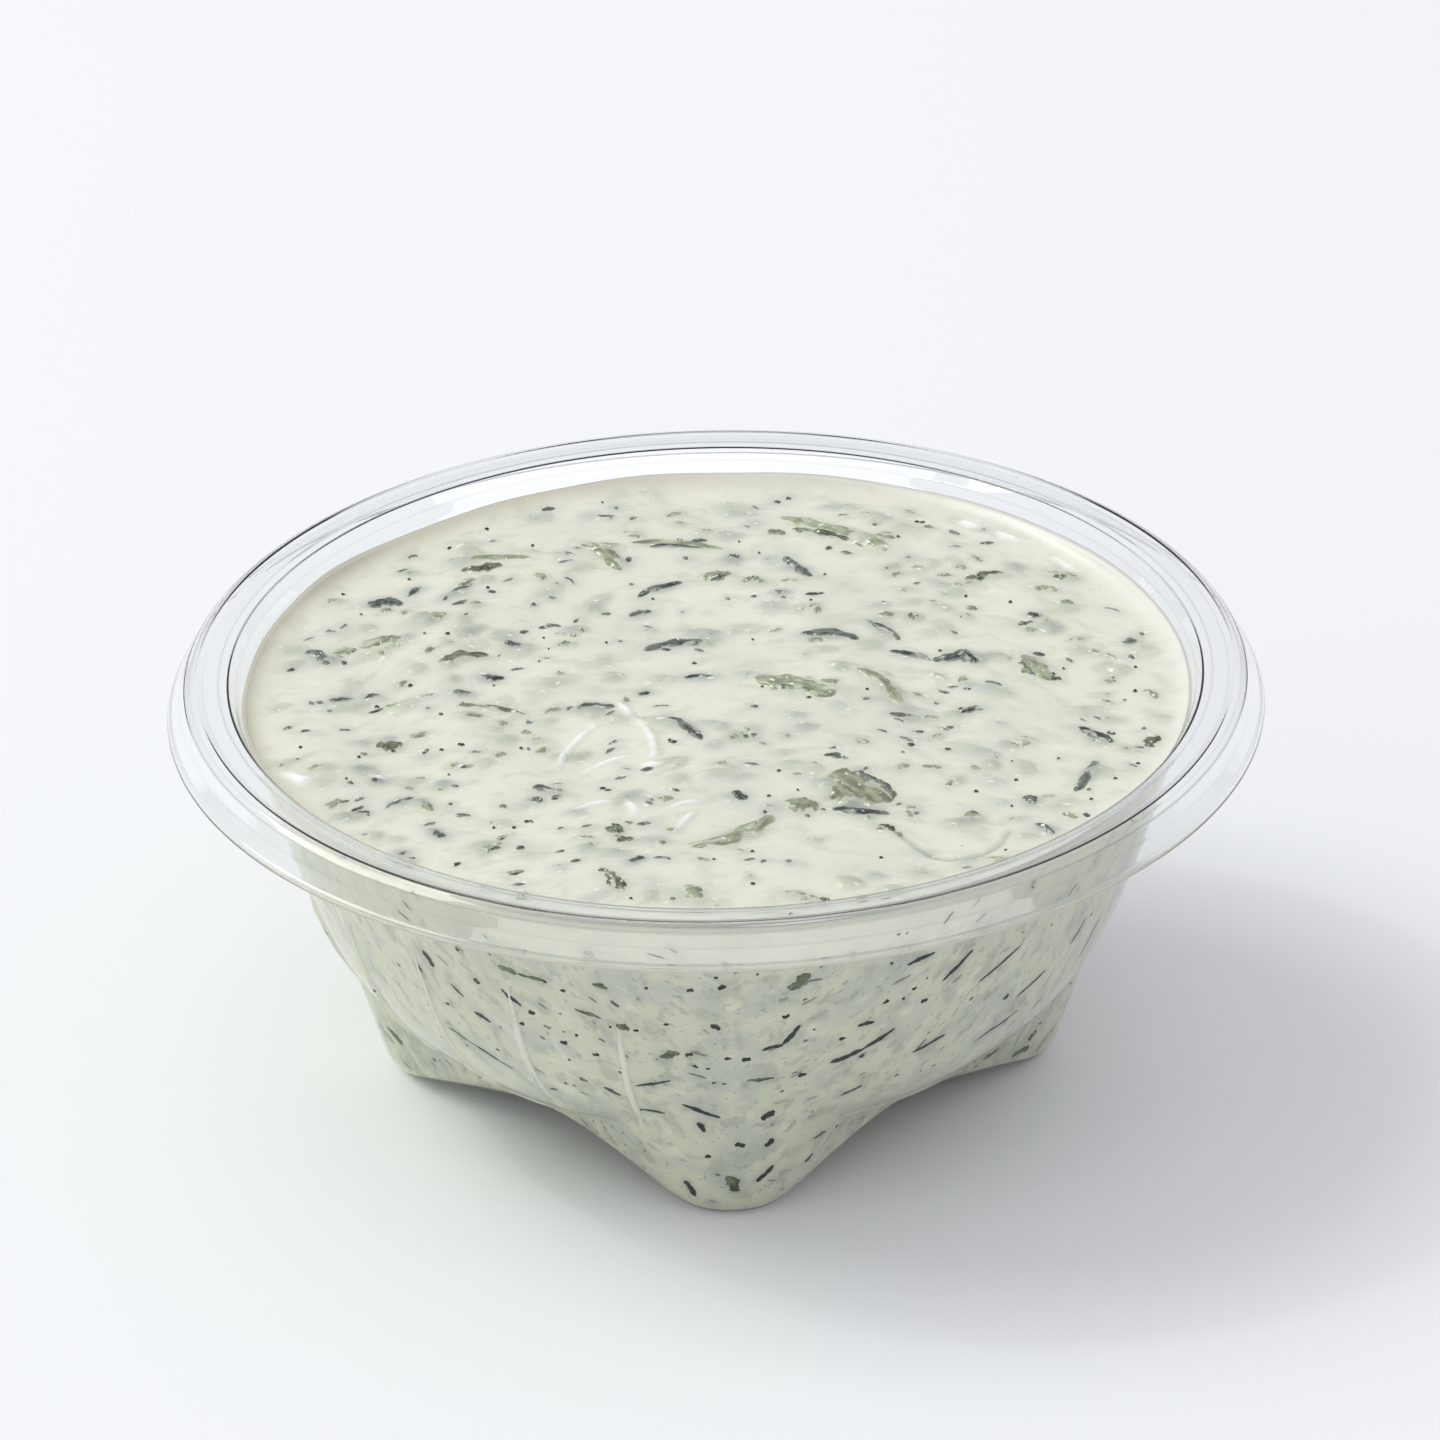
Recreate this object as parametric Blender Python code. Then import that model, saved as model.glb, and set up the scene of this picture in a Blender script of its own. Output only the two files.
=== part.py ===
"""Tzatziki dip in its clear tub.

The tub is one formed sheet of clear plastic: a turned-down rim, a round flared bowl and, under it, a square base
that stands on a foot at each corner. The dip fills the bowl and the feet up to just below the rim, and the larger
shreds of cucumber and herb stand proud of its surface.

Lengths are in millimetres until solid() turns them into metres. Z points up, the feet stand on the floor at z = 0,
and the tub's axis is the Z axis. The base's sides face X and Y, so the feet lie on the diagonals.
"""
import math

import bmesh
import bpy
import numpy as np

MM = 0.001

# The formed sheet. Its shape is given on the side that touches the food, and it is thickened away from the food.
SHEET = 0.5
COLUMNS = 64
RIM_HEIGHT = 47.0

# Rim section from the lip inwards: radius, and height over the bowl's inner top edge.
LIP = (59.0, -4.0)
SKIRT = (57.7, -1.9)
SHOULDER = (57.1, -0.5)
BEAD_FOOT = (56.5, 0.0)
BEAD_TOP = (55.8, 0.3)
FLANGE_OUT = (55.1, 0.0)
FLANGE_IN = (53.4, 0.1)
MOUTH = (52.35, 0.0)
LEDGE_TOP = (51.6, -1.2)
LEDGE = (51.1, -2.3)

# Bowl wall, by depth under the rim: a straight flare that curves in towards the bottom.
WALL_TOP_RADIUS = 50.8
WALL_TOP_DEPTH = 2.3
WALL_FLARE = 0.33
CURVE_START_DEPTH = 18.0
CURVE_RATE = 0.00090
WALL_DEPTHS = (3.2, 10.0, 17.0, 22.0, 26.0, 29.5, 32.5, 35.0, 37.2)

# Square base with a foot at each corner.
FOOT_REACH = 35.5
FOOT_LEAN = 0.27
FOOT_TOP = 17.0
FOOT_ROUNDING = 3.5
SIDE_REACH = 27.6
SIDE_LEAN = 0.37
SIDE_HOLLOW = 2.5
JOIN_ROUNDING = 2.0
ARCH_HEIGHT = 3.6
ARCH_END = math.radians(39.3)
ARCH_POWER = 1.2
FLOOR_RISE = 4.0
POCKET_SHARE = 0.15

# Turn from the bowl wall into the base: height, and how far in from the wall's end.
TURN = ((9.2, 0.4), (8.7, 2.3))
SIDE_TOP = 8.2
SIDE_STEPS = (1.0, 0.62, 0.3)
EDGE_STEPS = ((0.8, 0.15), (0.22, 0.65), (0.0, 1.6))
SOLE_SHARE = 0.84
POCKET_INNER_SHARE = 0.64
FLOOR_RADIUS = 13.0
SOLE_TOLERANCE = 0.05

# Raised ribs on the outside of two opposite sides of the bowl.
RIB_ANGLES = (-30.0, -15.0, 0.0, 15.0, 30.0)
RIB_PANELS = (-90.0, 90.0)
RIB_TOP_DEPTH = 14.0
RIB_TOP_DROP = 4.5
RIB_END_DEPTH = 36.4
RIB_STATIONS = 6
RIB_HALF_WIDTH = 0.55
RIB_HEIGHT = 0.4
RIB_SINK = 0.3

# The dip.
GAP = 0.35
DIP_LEVEL = 43.6
DIP_RINGS = (0.975, 0.9, 0.8, 0.69, 0.57, 0.45, 0.32, 0.18)
SWIRLS = ((0.24, 0.40, 2.0, 0.4), (0.16, -0.27, 3.0, 1.9))
SWELLS = ((0.17, 0.16, 0.05, 0.3), (0.13, -0.07, 0.19, 2.1))

# Larger pieces that stand proud of the dip: x, y, length, width, heading in degrees, rise over the surface.
CUCUMBER_CHUNKS = (
    (25.3, -4.8, 8.6, 6.0, 1.0, 0.9),
    (4.5, 7.8, 10.3, 3.0, 14.0, 0.6),
    (21.5, -20.3, 11.9, 2.3, 84.0, 0.6),
    (-16.3, 36.2, 15.4, 2.6, 7.0, 0.6),
    (-31.4, 15.2, 7.3, 2.0, -11.0, 0.6),
    (-35.6, -7.9, 4.8, 2.2, 60.0, 0.6),
    (-35.3, -14.9, 5.6, 1.6, 51.0, 0.5),
    (21.0, 27.9, 6.1, 2.6, -18.0, 0.6),
    (23.2, -11.4, 4.0, 2.2, 35.0, 0.6),
    (-19.2, 20.5, 3.8, 2.0, 65.0, 0.6),
    (11.0, 13.7, 10.5, 1.8, -13.0, 0.4),
    (28.0, -33.2, 4.0, 1.8, -13.0, 0.5),
    (38.3, -1.0, 2.3, 2.0, 41.0, 0.4),
    (8.8, 44.6, 3.8, 1.8, 33.0, 0.5),
)
SKIN_SHREDS = (
    (-38.0, -21.8, 4.4, 1.7, -6.0, 0.5),
    (-42.0, -7.8, 4.4, 1.8, 54.0, 0.5),
    (-14.1, 28.4, 6.6, 1.3, -17.0, 0.4),
    (-11.6, 6.4, 8.0, 1.4, 58.0, 0.5),
    (-0.6, 18.6, 6.9, 1.3, 30.0, 0.4),
    (12.2, 23.6, 5.4, 1.4, 45.0, 0.5),
    (-8.4, -10.2, 4.8, 1.4, 50.0, 0.4),
    (2.3, -7.5, 7.0, 1.3, -14.0, 0.4),
    (35.9, 21.1, 5.6, 1.3, -3.0, 0.4),
    (28.4, -9.4, 5.0, 1.3, 28.0, 0.4),
    (41.0, 13.2, 7.4, 1.3, 115.0, 0.4),
    (0.5, -27.2, 3.4, 1.2, 14.0, 0.4),
    (-21.8, 14.2, 6.1, 1.2, 77.0, 0.4),
)
HERB_LEAVES = (
    (-39.5, 4.8, 4.8, 1.8, 50.0, 0.5),
    (-26.5, -11.7, 6.1, 1.6, 67.0, 0.5),
    (-19.0, -30.8, 4.2, 1.8, 41.0, 0.5),
    (12.9, -28.9, 3.0, 1.9, 75.0, 0.5),
    (20.2, -37.1, 4.2, 1.5, -24.0, 0.5),
    (42.0, 23.4, 3.0, 1.5, 106.0, 0.4),
    (3.4, 39.6, 5.0, 1.4, 48.0, 0.4),
)
PIECE_SECTIONS = 3
PIECE_SIDES = 6
PIECE_SINK = 0.45

TUB_COLOUR = (0.86, 0.89, 0.90)
TUB_ROUGHNESS = 0.06
DIP_COLOUR = (0.80, 0.81, 0.70)
DIP_ROUGHNESS = 0.30
FULL_TURN = 2.0 * math.pi


def clear_scene():
    for thing in list(bpy.data.objects):
        bpy.data.objects.remove(thing, do_unlink=True)


def round_max(a, b, blend):
    """The larger of two radii, with the corner between them rounded."""
    near = max(blend - abs(a - b), 0.0) / blend
    return max(a, b) + near * near * blend / 4.0


def round_min(a, b, blend):
    """The smaller of two radii, with the corner between them rounded."""
    return -round_max(-a, -b, blend)


def panel_angle(angle):
    """Angle from the middle of the nearest side of the base, from -45 to 45 degrees."""
    quarter = math.pi / 2.0
    return (angle + quarter / 2.0) % quarter - quarter / 2.0


def wall_radius(depth):
    curve = max(depth - CURVE_START_DEPTH, 0.0)
    return WALL_TOP_RADIUS - WALL_FLARE * (depth - WALL_TOP_DEPTH) - CURVE_RATE * curve ** 3


def base_radius(angle, z):
    """Outline of the square base: slightly hollow sides, and corners cut across by the faces of the feet."""
    off_side = panel_angle(angle)
    off_foot = math.pi / 4.0 - abs(off_side)
    height = min(z, FOOT_TOP)
    side = SIDE_REACH + SIDE_LEAN * height - SIDE_HOLLOW * math.cos(2.0 * off_side) ** 2
    foot = FOOT_REACH + FOOT_LEAN * height
    return round_min(side / math.cos(off_side), foot / math.cos(off_foot), FOOT_ROUNDING)


def body_radius(angle, z, bowl):
    return round_max(bowl, base_radius(angle, z), JOIN_ROUNDING)


def arch(angle):
    """Height of the base's lower edge over the floor: nothing at the feet, most at the middle of each side."""
    share = math.tan(abs(panel_angle(angle))) / math.tan(ARCH_END)
    return ARCH_HEIGHT * max(1.0 - share * share, 0.0) ** ARCH_POWER


def rim_rows(angle):
    section = (LIP, SKIRT, SHOULDER, BEAD_FOOT, BEAD_TOP, FLANGE_OUT, FLANGE_IN, MOUTH, LEDGE_TOP, LEDGE)
    return [(radius, RIM_HEIGHT + rise) for radius, rise in section]


def wall_rows(angle):
    return [(body_radius(angle, RIM_HEIGHT - depth, wall_radius(depth)), RIM_HEIGHT - depth)
            for depth in WALL_DEPTHS]


def base_rows(angle):
    """From the turn under the bowl down the side of the base and in across the sole to the raised floor."""
    wall_end = wall_radius(WALL_DEPTHS[-1])
    low = SHEET + arch(angle)
    rows = [(body_radius(angle, z, wall_end - inset), z) for z, inset in TURN]
    for share in SIDE_STEPS:
        z = low + (SIDE_TOP - low) * share
        rows.append((base_radius(angle, z), z))
    for rise, inset in EDGE_STEPS:
        rows.append((base_radius(angle, low) - inset, low + rise))
    sole = base_radius(angle, low)
    floor = SHEET + FLOOR_RISE
    rows.append((sole * SOLE_SHARE, low))
    rows.append((sole * POCKET_INNER_SHARE, floor - (floor - low) * POCKET_SHARE))
    rows.append((FLOOR_RADIUS, floor))
    return rows


def column_angles():
    return [FULL_TURN * i / COLUMNS for i in range(COLUMNS)]


def grid(row_function):
    """Points of a surface as rows round the axis: an array of rows, columns and x, y, z."""
    columns = []
    for angle in column_angles():
        columns.append([(r * math.cos(angle), r * math.sin(angle), z) for r, z in row_function(angle)])
    return np.array(columns).transpose(1, 0, 2)


def outward(points):
    """Unit normals of a grid whose rows run downwards, pointing away from the axis."""
    down = np.gradient(points, axis=0)
    around = np.roll(points, -1, axis=1) - np.roll(points, 1, axis=1)
    normal = np.cross(down, around)
    return normal / np.linalg.norm(normal, axis=2, keepdims=True)


def add_grid(mesh, points):
    """Adds the grid's faces, facing away from the axis, and returns its rows of vertices."""
    rows = [[mesh.verts.new(point * MM) for point in row] for row in points]
    for upper, lower in zip(rows, rows[1:]):
        for i in range(COLUMNS):
            j = (i + 1) % COLUMNS
            mesh.faces.new((upper[i], lower[i], lower[j], upper[j]))
    return rows


def close_to_point(mesh, row, point, upwards):
    centre = mesh.verts.new(np.array(point) * MM)
    for i in range(COLUMNS):
        j = (i + 1) % COLUMNS
        corners = (row[i], row[j], centre) if upwards else (row[j], row[i], centre)
        mesh.faces.new(corners)


def material(name, colour, roughness, alpha=1.0):
    finish = bpy.data.materials.new(name)
    finish.use_nodes = True
    shader = finish.node_tree.nodes["Principled BSDF"]
    shader.inputs["Base Color"].default_value = (*colour, 1.0)
    shader.inputs["Roughness"].default_value = roughness
    shader.inputs["Metallic"].default_value = 0.0
    shader.inputs["Alpha"].default_value = alpha
    return finish


def solid(name, mesh, finish=None):
    data = bpy.data.meshes.new(name)
    mesh.to_mesh(data)
    mesh.free()
    thing = bpy.data.objects.new(name, data)
    bpy.context.scene.collection.objects.link(thing)
    if finish:
        data.materials.append(finish)
    return thing


def apply_modifiers(thing):
    bpy.context.view_layer.objects.active = thing
    for modifier in list(thing.modifiers):
        bpy.ops.object.modifier_apply(modifier=modifier.name)


def fuse(core, pieces, solver):
    """Joins the pieces to the core by one Boolean union on their collection, then removes them."""
    group = bpy.data.collections.new(core.name + "_pieces")
    bpy.context.scene.collection.children.link(group)
    for piece in pieces:
        bpy.context.scene.collection.objects.unlink(piece)
        group.objects.link(piece)
    union = core.modifiers.new("fuse", "BOOLEAN")
    union.operation = "UNION"
    union.operand_type = "COLLECTION"
    union.collection = group
    union.solver = solver
    apply_modifiers(core)
    for piece in pieces:
        bpy.data.objects.remove(piece, do_unlink=True)
    bpy.data.collections.remove(group)


def smooth(thing, angle=35.0):
    thing.data.shade_smooth()
    thing.data.set_sharp_from_angle(angle=math.radians(angle))


def lens(name, frame, length, width, rise, sink):
    """A closed sliver with pointed ends: frame gives the place along it, its side and its up direction."""
    mesh = bmesh.new()
    rings = []
    for step in range(1, PIECE_SECTIONS + 1):
        along = 2.0 * step / (PIECE_SECTIONS + 1) - 1.0
        swell = math.sqrt(1.0 - along * along)
        ring = []
        for side in range(PIECE_SIDES):
            turn = FULL_TURN * side / PIECE_SIDES
            across = 0.5 * width * swell * math.cos(turn)
            up = math.sin(turn) * swell * (rise if math.sin(turn) > 0.0 else sink)
            ring.append(mesh.verts.new(frame(along * length / 2.0, across, up) * MM))
        rings.append(ring)
    for first, second in zip(rings, rings[1:]):
        for i in range(PIECE_SIDES):
            j = (i + 1) % PIECE_SIDES
            mesh.faces.new((first[i], first[j], second[j], second[i]))
    for ring, end in ((rings[0], -1.0), (rings[-1], 1.0)):
        tip = mesh.verts.new(frame(end * length / 2.0, 0.0, 0.0) * MM)
        for i in range(PIECE_SIDES):
            mesh.faces.new((ring[i], ring[(i + 1) % PIECE_SIDES], tip))
    bmesh.ops.recalc_face_normals(mesh, faces=mesh.faces)
    return solid(name, mesh)


def rib_depths(angle):
    top = RIB_TOP_DEPTH + RIB_TOP_DROP * (angle / max(RIB_ANGLES)) ** 2
    return [top + (RIB_END_DEPTH - top) * i / (RIB_STATIONS - 1) for i in range(RIB_STATIONS)]


def rib(panel, angle):
    """A thin raised bar that runs down the outside of the bowl, from half-way up to the bottom edge."""
    direction = math.radians(panel + angle)
    radial = np.array((math.cos(direction), math.sin(direction), 0.0))
    side = np.array((-math.sin(direction), math.cos(direction), 0.0))
    mesh = bmesh.new()
    depths = rib_depths(angle)
    rings = []
    for step, depth in enumerate(depths):
        z = RIM_HEIGHT - depth
        radius = body_radius(direction, z, wall_radius(depth)) + SHEET
        point = radial * radius + np.array((0.0, 0.0, z))
        height = RIB_HEIGHT if 0 < step < len(depths) - 1 else 0.0
        corners = (point - side * RIB_HALF_WIDTH - radial * RIB_SINK, point + radial * height,
                   point + side * RIB_HALF_WIDTH - radial * RIB_SINK)
        rings.append([mesh.verts.new(corner * MM) for corner in corners])
    for first, second in zip(rings, rings[1:]):
        for i in range(3):
            j = (i + 1) % 3
            mesh.faces.new((first[i], first[j], second[j], second[i]))
    mesh.faces.new(rings[0])
    mesh.faces.new(rings[-1])
    bmesh.ops.triangulate(mesh, faces=mesh.faces)
    bmesh.ops.recalc_face_normals(mesh, faces=mesh.faces)
    return solid("rib", mesh)


def flatten_soles(tub):
    """Sets the undersides of the feet level with the floor."""
    for vertex in tub.data.vertices:
        if abs(vertex.co.z) < SOLE_TOLERANCE * MM:
            vertex.co.z = 0.0


def make_tub():
    """The sheet from lip to floor, thickened away from the food, with the ribs fused to its outside."""
    mesh = bmesh.new()
    rows = add_grid(mesh, grid(lambda angle: rim_rows(angle) + wall_rows(angle) + base_rows(angle)))
    close_to_point(mesh, rows[-1], (0.0, 0.0, SHEET + FLOOR_RISE), upwards=False)
    bmesh.ops.triangulate(mesh, faces=mesh.faces)
    tub = solid("tub", mesh, material("clear_plastic", TUB_COLOUR, TUB_ROUGHNESS, alpha=0.35))
    sheet = tub.modifiers.new("sheet", "SOLIDIFY")
    sheet.thickness = SHEET * MM
    sheet.offset = 1.0
    sheet.use_even_offset = True
    sheet.use_rim = True
    apply_modifiers(tub)
    flatten_soles(tub)
    fuse(tub, [rib(panel, angle) for panel in RIB_PANELS for angle in RIB_ANGLES], "MANIFOLD")
    smooth(tub)


def dip_height(x, y):
    """Height of the dip's surface: slow swirls round the middle and broad swells across it."""
    radius = math.hypot(x, y)
    turn = math.atan2(y, x)
    calm = min(radius / 20.0, 1.0)
    height = DIP_LEVEL
    for rise, per_mm, turns, phase in SWIRLS:
        height += rise * calm * math.sin(per_mm * radius + turns * turn + phase)
    for rise, along_x, along_y, phase in SWELLS:
        height += rise * math.sin(along_x * x + along_y * y + phase)
    return height


def dip_top(edge):
    """Rings of the dip's surface, from the middle out to just inside its edge."""
    rings = []
    for share in reversed(DIP_RINGS):
        ring = edge * share
        ring[:, 2] = [dip_height(x, y) for x, y, _ in ring]
        rings.append(ring)
    return np.array(rings)


def dip_piece(name, x, y, length, width, heading, rise):
    """A shred, chunk or leaf that lies half sunk along the surface."""
    along = np.array((math.cos(math.radians(heading)), math.sin(math.radians(heading)), 0.0))
    across = np.array((-along[1], along[0], 0.0))

    def frame(forward, sideways, up):
        point = np.array((x, y, 0.0)) + along * forward + across * sideways
        point[2] = dip_height(point[0], point[1]) + up
        return point

    return lens(name, frame, length, width, rise, PIECE_SINK)


def make_dip():
    """The dip: a solid that fills the tub up to its level, with the larger pieces fused on."""
    food_side = grid(lambda angle: wall_rows(angle) + base_rows(angle))
    side = food_side - outward(food_side) * GAP
    mesh = bmesh.new()
    rows = add_grid(mesh, np.concatenate((dip_top(side[0]), side)))
    close_to_point(mesh, rows[0], (0.0, 0.0, dip_height(0.0, 0.0)), upwards=True)
    close_to_point(mesh, rows[-1], (0.0, 0.0, SHEET + FLOOR_RISE + GAP), upwards=False)
    bmesh.ops.triangulate(mesh, faces=mesh.faces)
    dip = solid("tzatziki", mesh, material("tzatziki", DIP_COLOUR, DIP_ROUGHNESS))
    pieces = []
    for name, places in (("chunk", CUCUMBER_CHUNKS), ("shred", SKIN_SHREDS), ("leaf", HERB_LEAVES)):
        pieces += [dip_piece(name, *place) for place in places]
    fuse(dip, pieces, "MANIFOLD")
    smooth(dip)


def main():
    clear_scene()
    make_tub()
    make_dip()


main()
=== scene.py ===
"""Looks of the tzatziki dip in its clear tub.

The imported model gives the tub's and the dip's place and size. This file makes the fine surfaces round it: the
formed clear sheet with its rim, ribs and feet, the cream with its folds, the shreds of cucumber, skin and
herb that lie half sunk in it, and what shows through the wall. Lengths are in millimetres until a mesh is
made.
"""

import math

import bmesh
import bpy
import numpy as np
from bpy.props import FloatProperty, FloatVectorProperty, IntProperty, PointerProperty
from mathutils import Matrix, Vector, noise


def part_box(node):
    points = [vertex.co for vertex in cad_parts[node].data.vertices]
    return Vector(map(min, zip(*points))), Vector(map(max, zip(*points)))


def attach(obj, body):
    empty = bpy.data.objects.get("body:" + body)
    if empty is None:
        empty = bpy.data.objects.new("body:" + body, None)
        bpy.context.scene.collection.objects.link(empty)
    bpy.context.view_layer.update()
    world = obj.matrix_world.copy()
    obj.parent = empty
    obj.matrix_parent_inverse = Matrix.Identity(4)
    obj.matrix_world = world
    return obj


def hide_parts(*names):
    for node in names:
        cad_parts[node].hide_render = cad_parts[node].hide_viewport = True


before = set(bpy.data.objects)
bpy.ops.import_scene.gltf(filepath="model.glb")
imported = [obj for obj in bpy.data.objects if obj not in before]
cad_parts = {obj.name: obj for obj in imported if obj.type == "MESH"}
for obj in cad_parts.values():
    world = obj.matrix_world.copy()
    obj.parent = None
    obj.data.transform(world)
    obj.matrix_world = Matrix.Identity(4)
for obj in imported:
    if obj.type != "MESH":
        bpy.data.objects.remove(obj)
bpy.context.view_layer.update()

bl_info = {
    "name": "Tzatziki Tub",
    "version": (1, 0, 0),
    "blender": (4, 5, 0),
    "location": "View3D > Sidebar > Tzatziki",
    "description": "Makes a tub of tzatziki dip: clear tub, cream, cucumber, skin, herbs and pepper",
    "category": "Add Mesh",
}

MM = 0.001
FULL_TURN = 2.0 * math.pi

# Stage, in metres: the floor's half width, the point that the lamps face, and their distances. The sky's
# share of light at its edge, and what is added overhead.
FLOOR_HALF = 6.0
LAMPS_AIM = (0.0, 0.0, 0.02)
KEY_DISTANCE = 2.2
CARD_DISTANCE = 1.6
SKY_LEVEL = 0.46
SKY_LIFT = 0.88

# Rim section from the lip inwards: radius, height over the bowl's inner top edge, and how dark the painted
# line at its fold shows, standing in for dark refraction.
BEAD_RISE = 0.3
RIM_SECTION = (
    (59.0, -4.0, 0.0), (58.75, -3.45, 0.1), (58.5, -3.3, 0.15), (57.7, -1.9, 0.15), (57.1, -0.5, 0.5),
    (56.5, 0.0, 0.15), (55.8, BEAD_RISE, 0.0), (55.1, 0.0, 0.2), (53.4, 0.1, 0.5), (52.35, 0.0, 1.0),
    (51.6, -1.2, 0.15), (51.1, -2.3, 0.1),
)
TUB_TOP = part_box("tub")[1]
RIM_HEIGHT = TUB_TOP.z / MM - BEAD_RISE
LIP_RADIUS = TUB_TOP.x / MM

# Bowl wall, by depth under the rim.
WALL_TOP_RADIUS = 50.8
WALL_TOP_DEPTH = 2.3
WALL_FLARE = 0.33
CURVE_START_DEPTH = 18.0
CURVE_RATE = 0.00090
WALL_FIRST_DEPTH = 3.2
WALL_END_DEPTH = 37.2
TUB_WALL_ROWS = 22
CREAM_WALL_ROWS = 28

# Square base with a foot at each corner.
FOOT_REACH = 35.5
FOOT_LEAN = 0.27
FOOT_TOP = 17.0
FOOT_ROUNDING = 3.5
SIDE_REACH = 27.6
SIDE_LEAN = 0.37
SIDE_HOLLOW = 2.5
JOIN_ROUNDING = 0.9
ARCH_HEIGHT = 3.6
ARCH_END = math.radians(39.3)
ARCH_POWER = 1.2
FLOOR_RISE = 4.0
FLOOR_RADIUS = 13.0

# Rows of points down the base. In the turn under the bowl: height, and how far in they lie. Down the side:
# shares of its height. At the lower edge: rise over it, and how far in. Across the sole and in the hollow:
# shares of the outline, and the share of the hollow's depth that is left to rise.
TURN_ROWS = ((9.2, 0.4), (8.7, 2.3))
SIDE_TOP = 8.2
SIDE_STEPS = (1.0, 0.75, 0.5, 0.25)
EDGE_ROWS = ((0.8, 0.15), (0.22, 0.65), (0.0, 1.6))
SOLE_SHARE = 0.84
POCKET_INNER_SHARE = 0.64
POCKET_SHARE = 0.15

# Points on each rounded corner of the sheet's section, and the number of the corner at the base's lower edge.
CORNER_STEPS = 4
EDGE_CORNER = 8

# How dark the painted line at a fold of the rim shows, as a share: in the middle, how far it varies round the
# tub, and at least.
FOLD_SHOWN = 0.7
FOLD_VARIES = 0.9
FOLD_LEAST = 0.2

# How far the cream reaches into the wall, as a share of the sheet, and the depths where its warm tone fades.
IN_WALL = 0.4
WARM_DEPTHS = (6.0, 12.0)

# Raised ribs on two opposite sides of the bowl.
RIB_ANGLES = (-30.0, -15.0, 0.0, 15.0, 30.0)
RIB_PANELS = (-90.0, 90.0)
RIB_TOP_DEPTH = 14.0
RIB_TOP_DROP = 4.5
RIB_END_DEPTH = 36.4
RIB_FADE = 2.0
RIB_COLUMNS = (-1.5, -1.0, -0.6, -0.25, 0.0, 0.25, 0.6, 1.0, 1.5)
RIB_CLEARANCE = math.radians(1.7)
RIB_CREAM_WIDTH = 0.95
RIB_CREAM_RISE = 0.8
RIB_CREAM_OUT = 0.42

# The dip's level surface. Swirls round its middle: rise, radians per mm, turns and phase. Swells across it:
# rise, radians per mm along x and along y, and phase.
DIP_LEVEL = 43.6
PIECE_LEVEL = DIP_LEVEL + 0.2
STREWN_RADIUS = 48.5
CALM_RADIUS = 20.0
SWIRLS = ((0.24, 0.40, 2.0, 0.4), (0.16, -0.27, 3.0, 1.9))
SWELLS = ((0.17, 0.16, 0.05, 0.3), (0.13, -0.07, 0.19, 2.1))

# Where the cream meets the wall: the heading at which it climbs and a painted band of light shows most, the
# shares of its climb that it has all round, gains at that heading and varies by, and the side of painted shade.
CREAM_EDGE_RISE = 0.1
CREAM_EDGE_REACH = 1.1
CLIMB_HEADING = math.radians(62.0)
CLIMB_SHARE = 0.75
CLIMB_GAIN = 0.45
CLIMB_VARIES = 0.5
SHADE_HEADING = math.radians(185.0)
SHADE_REACH = 1.9
LIT_BAND_REACH = 1.6

# The drift of small pieces and streaks across the top, and the streaks behind the wall, which rise away from
# two of the feet.
DRIFT_HEADING = 44.0
DRIFT_BOW = 90.0
DRIFT_SWIRL = 3.5
DRIFT_SWIRL_SIZE = 17.0
STREAK_SLOPE = 0.45
STREAK_BOW = 110.0
STREAK_SHIFT = 12.0

# Heights between which small pieces are strewn behind the wall of the bowl and of the base, the heights that
# any piece there keeps to, and how far it lies out from the food side.
STREWN_BOWL = (10.8, 42.0)
STREWN_BASE_TOP = 8.5
STREWN_BASE_LIFT = 1.6
STREWN_WALL_RADIUS = 42.0
WALL_PIECE_HEIGHTS = (2.2, 43.0)

# How deep larger and small pieces reach under the surface, and how far, in degrees, strewn ones stray from
# the drift on the top and behind the wall.
DEEP_SINK = 0.45
SMALL_SINK = 0.2
TOP_STRAY = 22.0
WALL_STRAY = 14.0

# A strip of skin along a piece of flesh, in shares of the piece: its place to the side, length, width, rise
# and bend. Its least width is in mm, and its turn in degrees.
STRIP_SIDE = 0.36
STRIP_LENGTH = 0.62
STRIP_WIDTH = 0.28
STRIP_RISE = 0.95
STRIP_BEND = 0.6
STRIP_LEAST = 0.35
STRIP_TURN = 4.0
BEHIND_WALL = 0.2

# The cloud round a piece behind the wall: its reach past the piece along, across and at most, and its fall.
WALL_CLOUD_ALONG = 0.9
WALL_CLOUD_ACROSS = 0.7
WALL_CLOUD_REACH = 2.0
WALL_CLOUD_FALL = 1.8

# The photograph's view: the camera's direction, distance and roll, and the pixel of the rim's middle.
VIEW_ANGLE = math.radians(-46.2)
VIEW_HEIGHT = math.radians(28.18)
VIEW_DISTANCE = 1601.0
VIEW_ROLL = math.radians(1.11)
FRAME_PIXELS = 1440.0
RIM_CENTRE_AT = (715.2, 670.8)
VIEW_LENS = 372.65
SENSOR = 36.0
SIGHT_STEP = 0.05
WALL_SIGHT_MARGIN = 0.3
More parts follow.
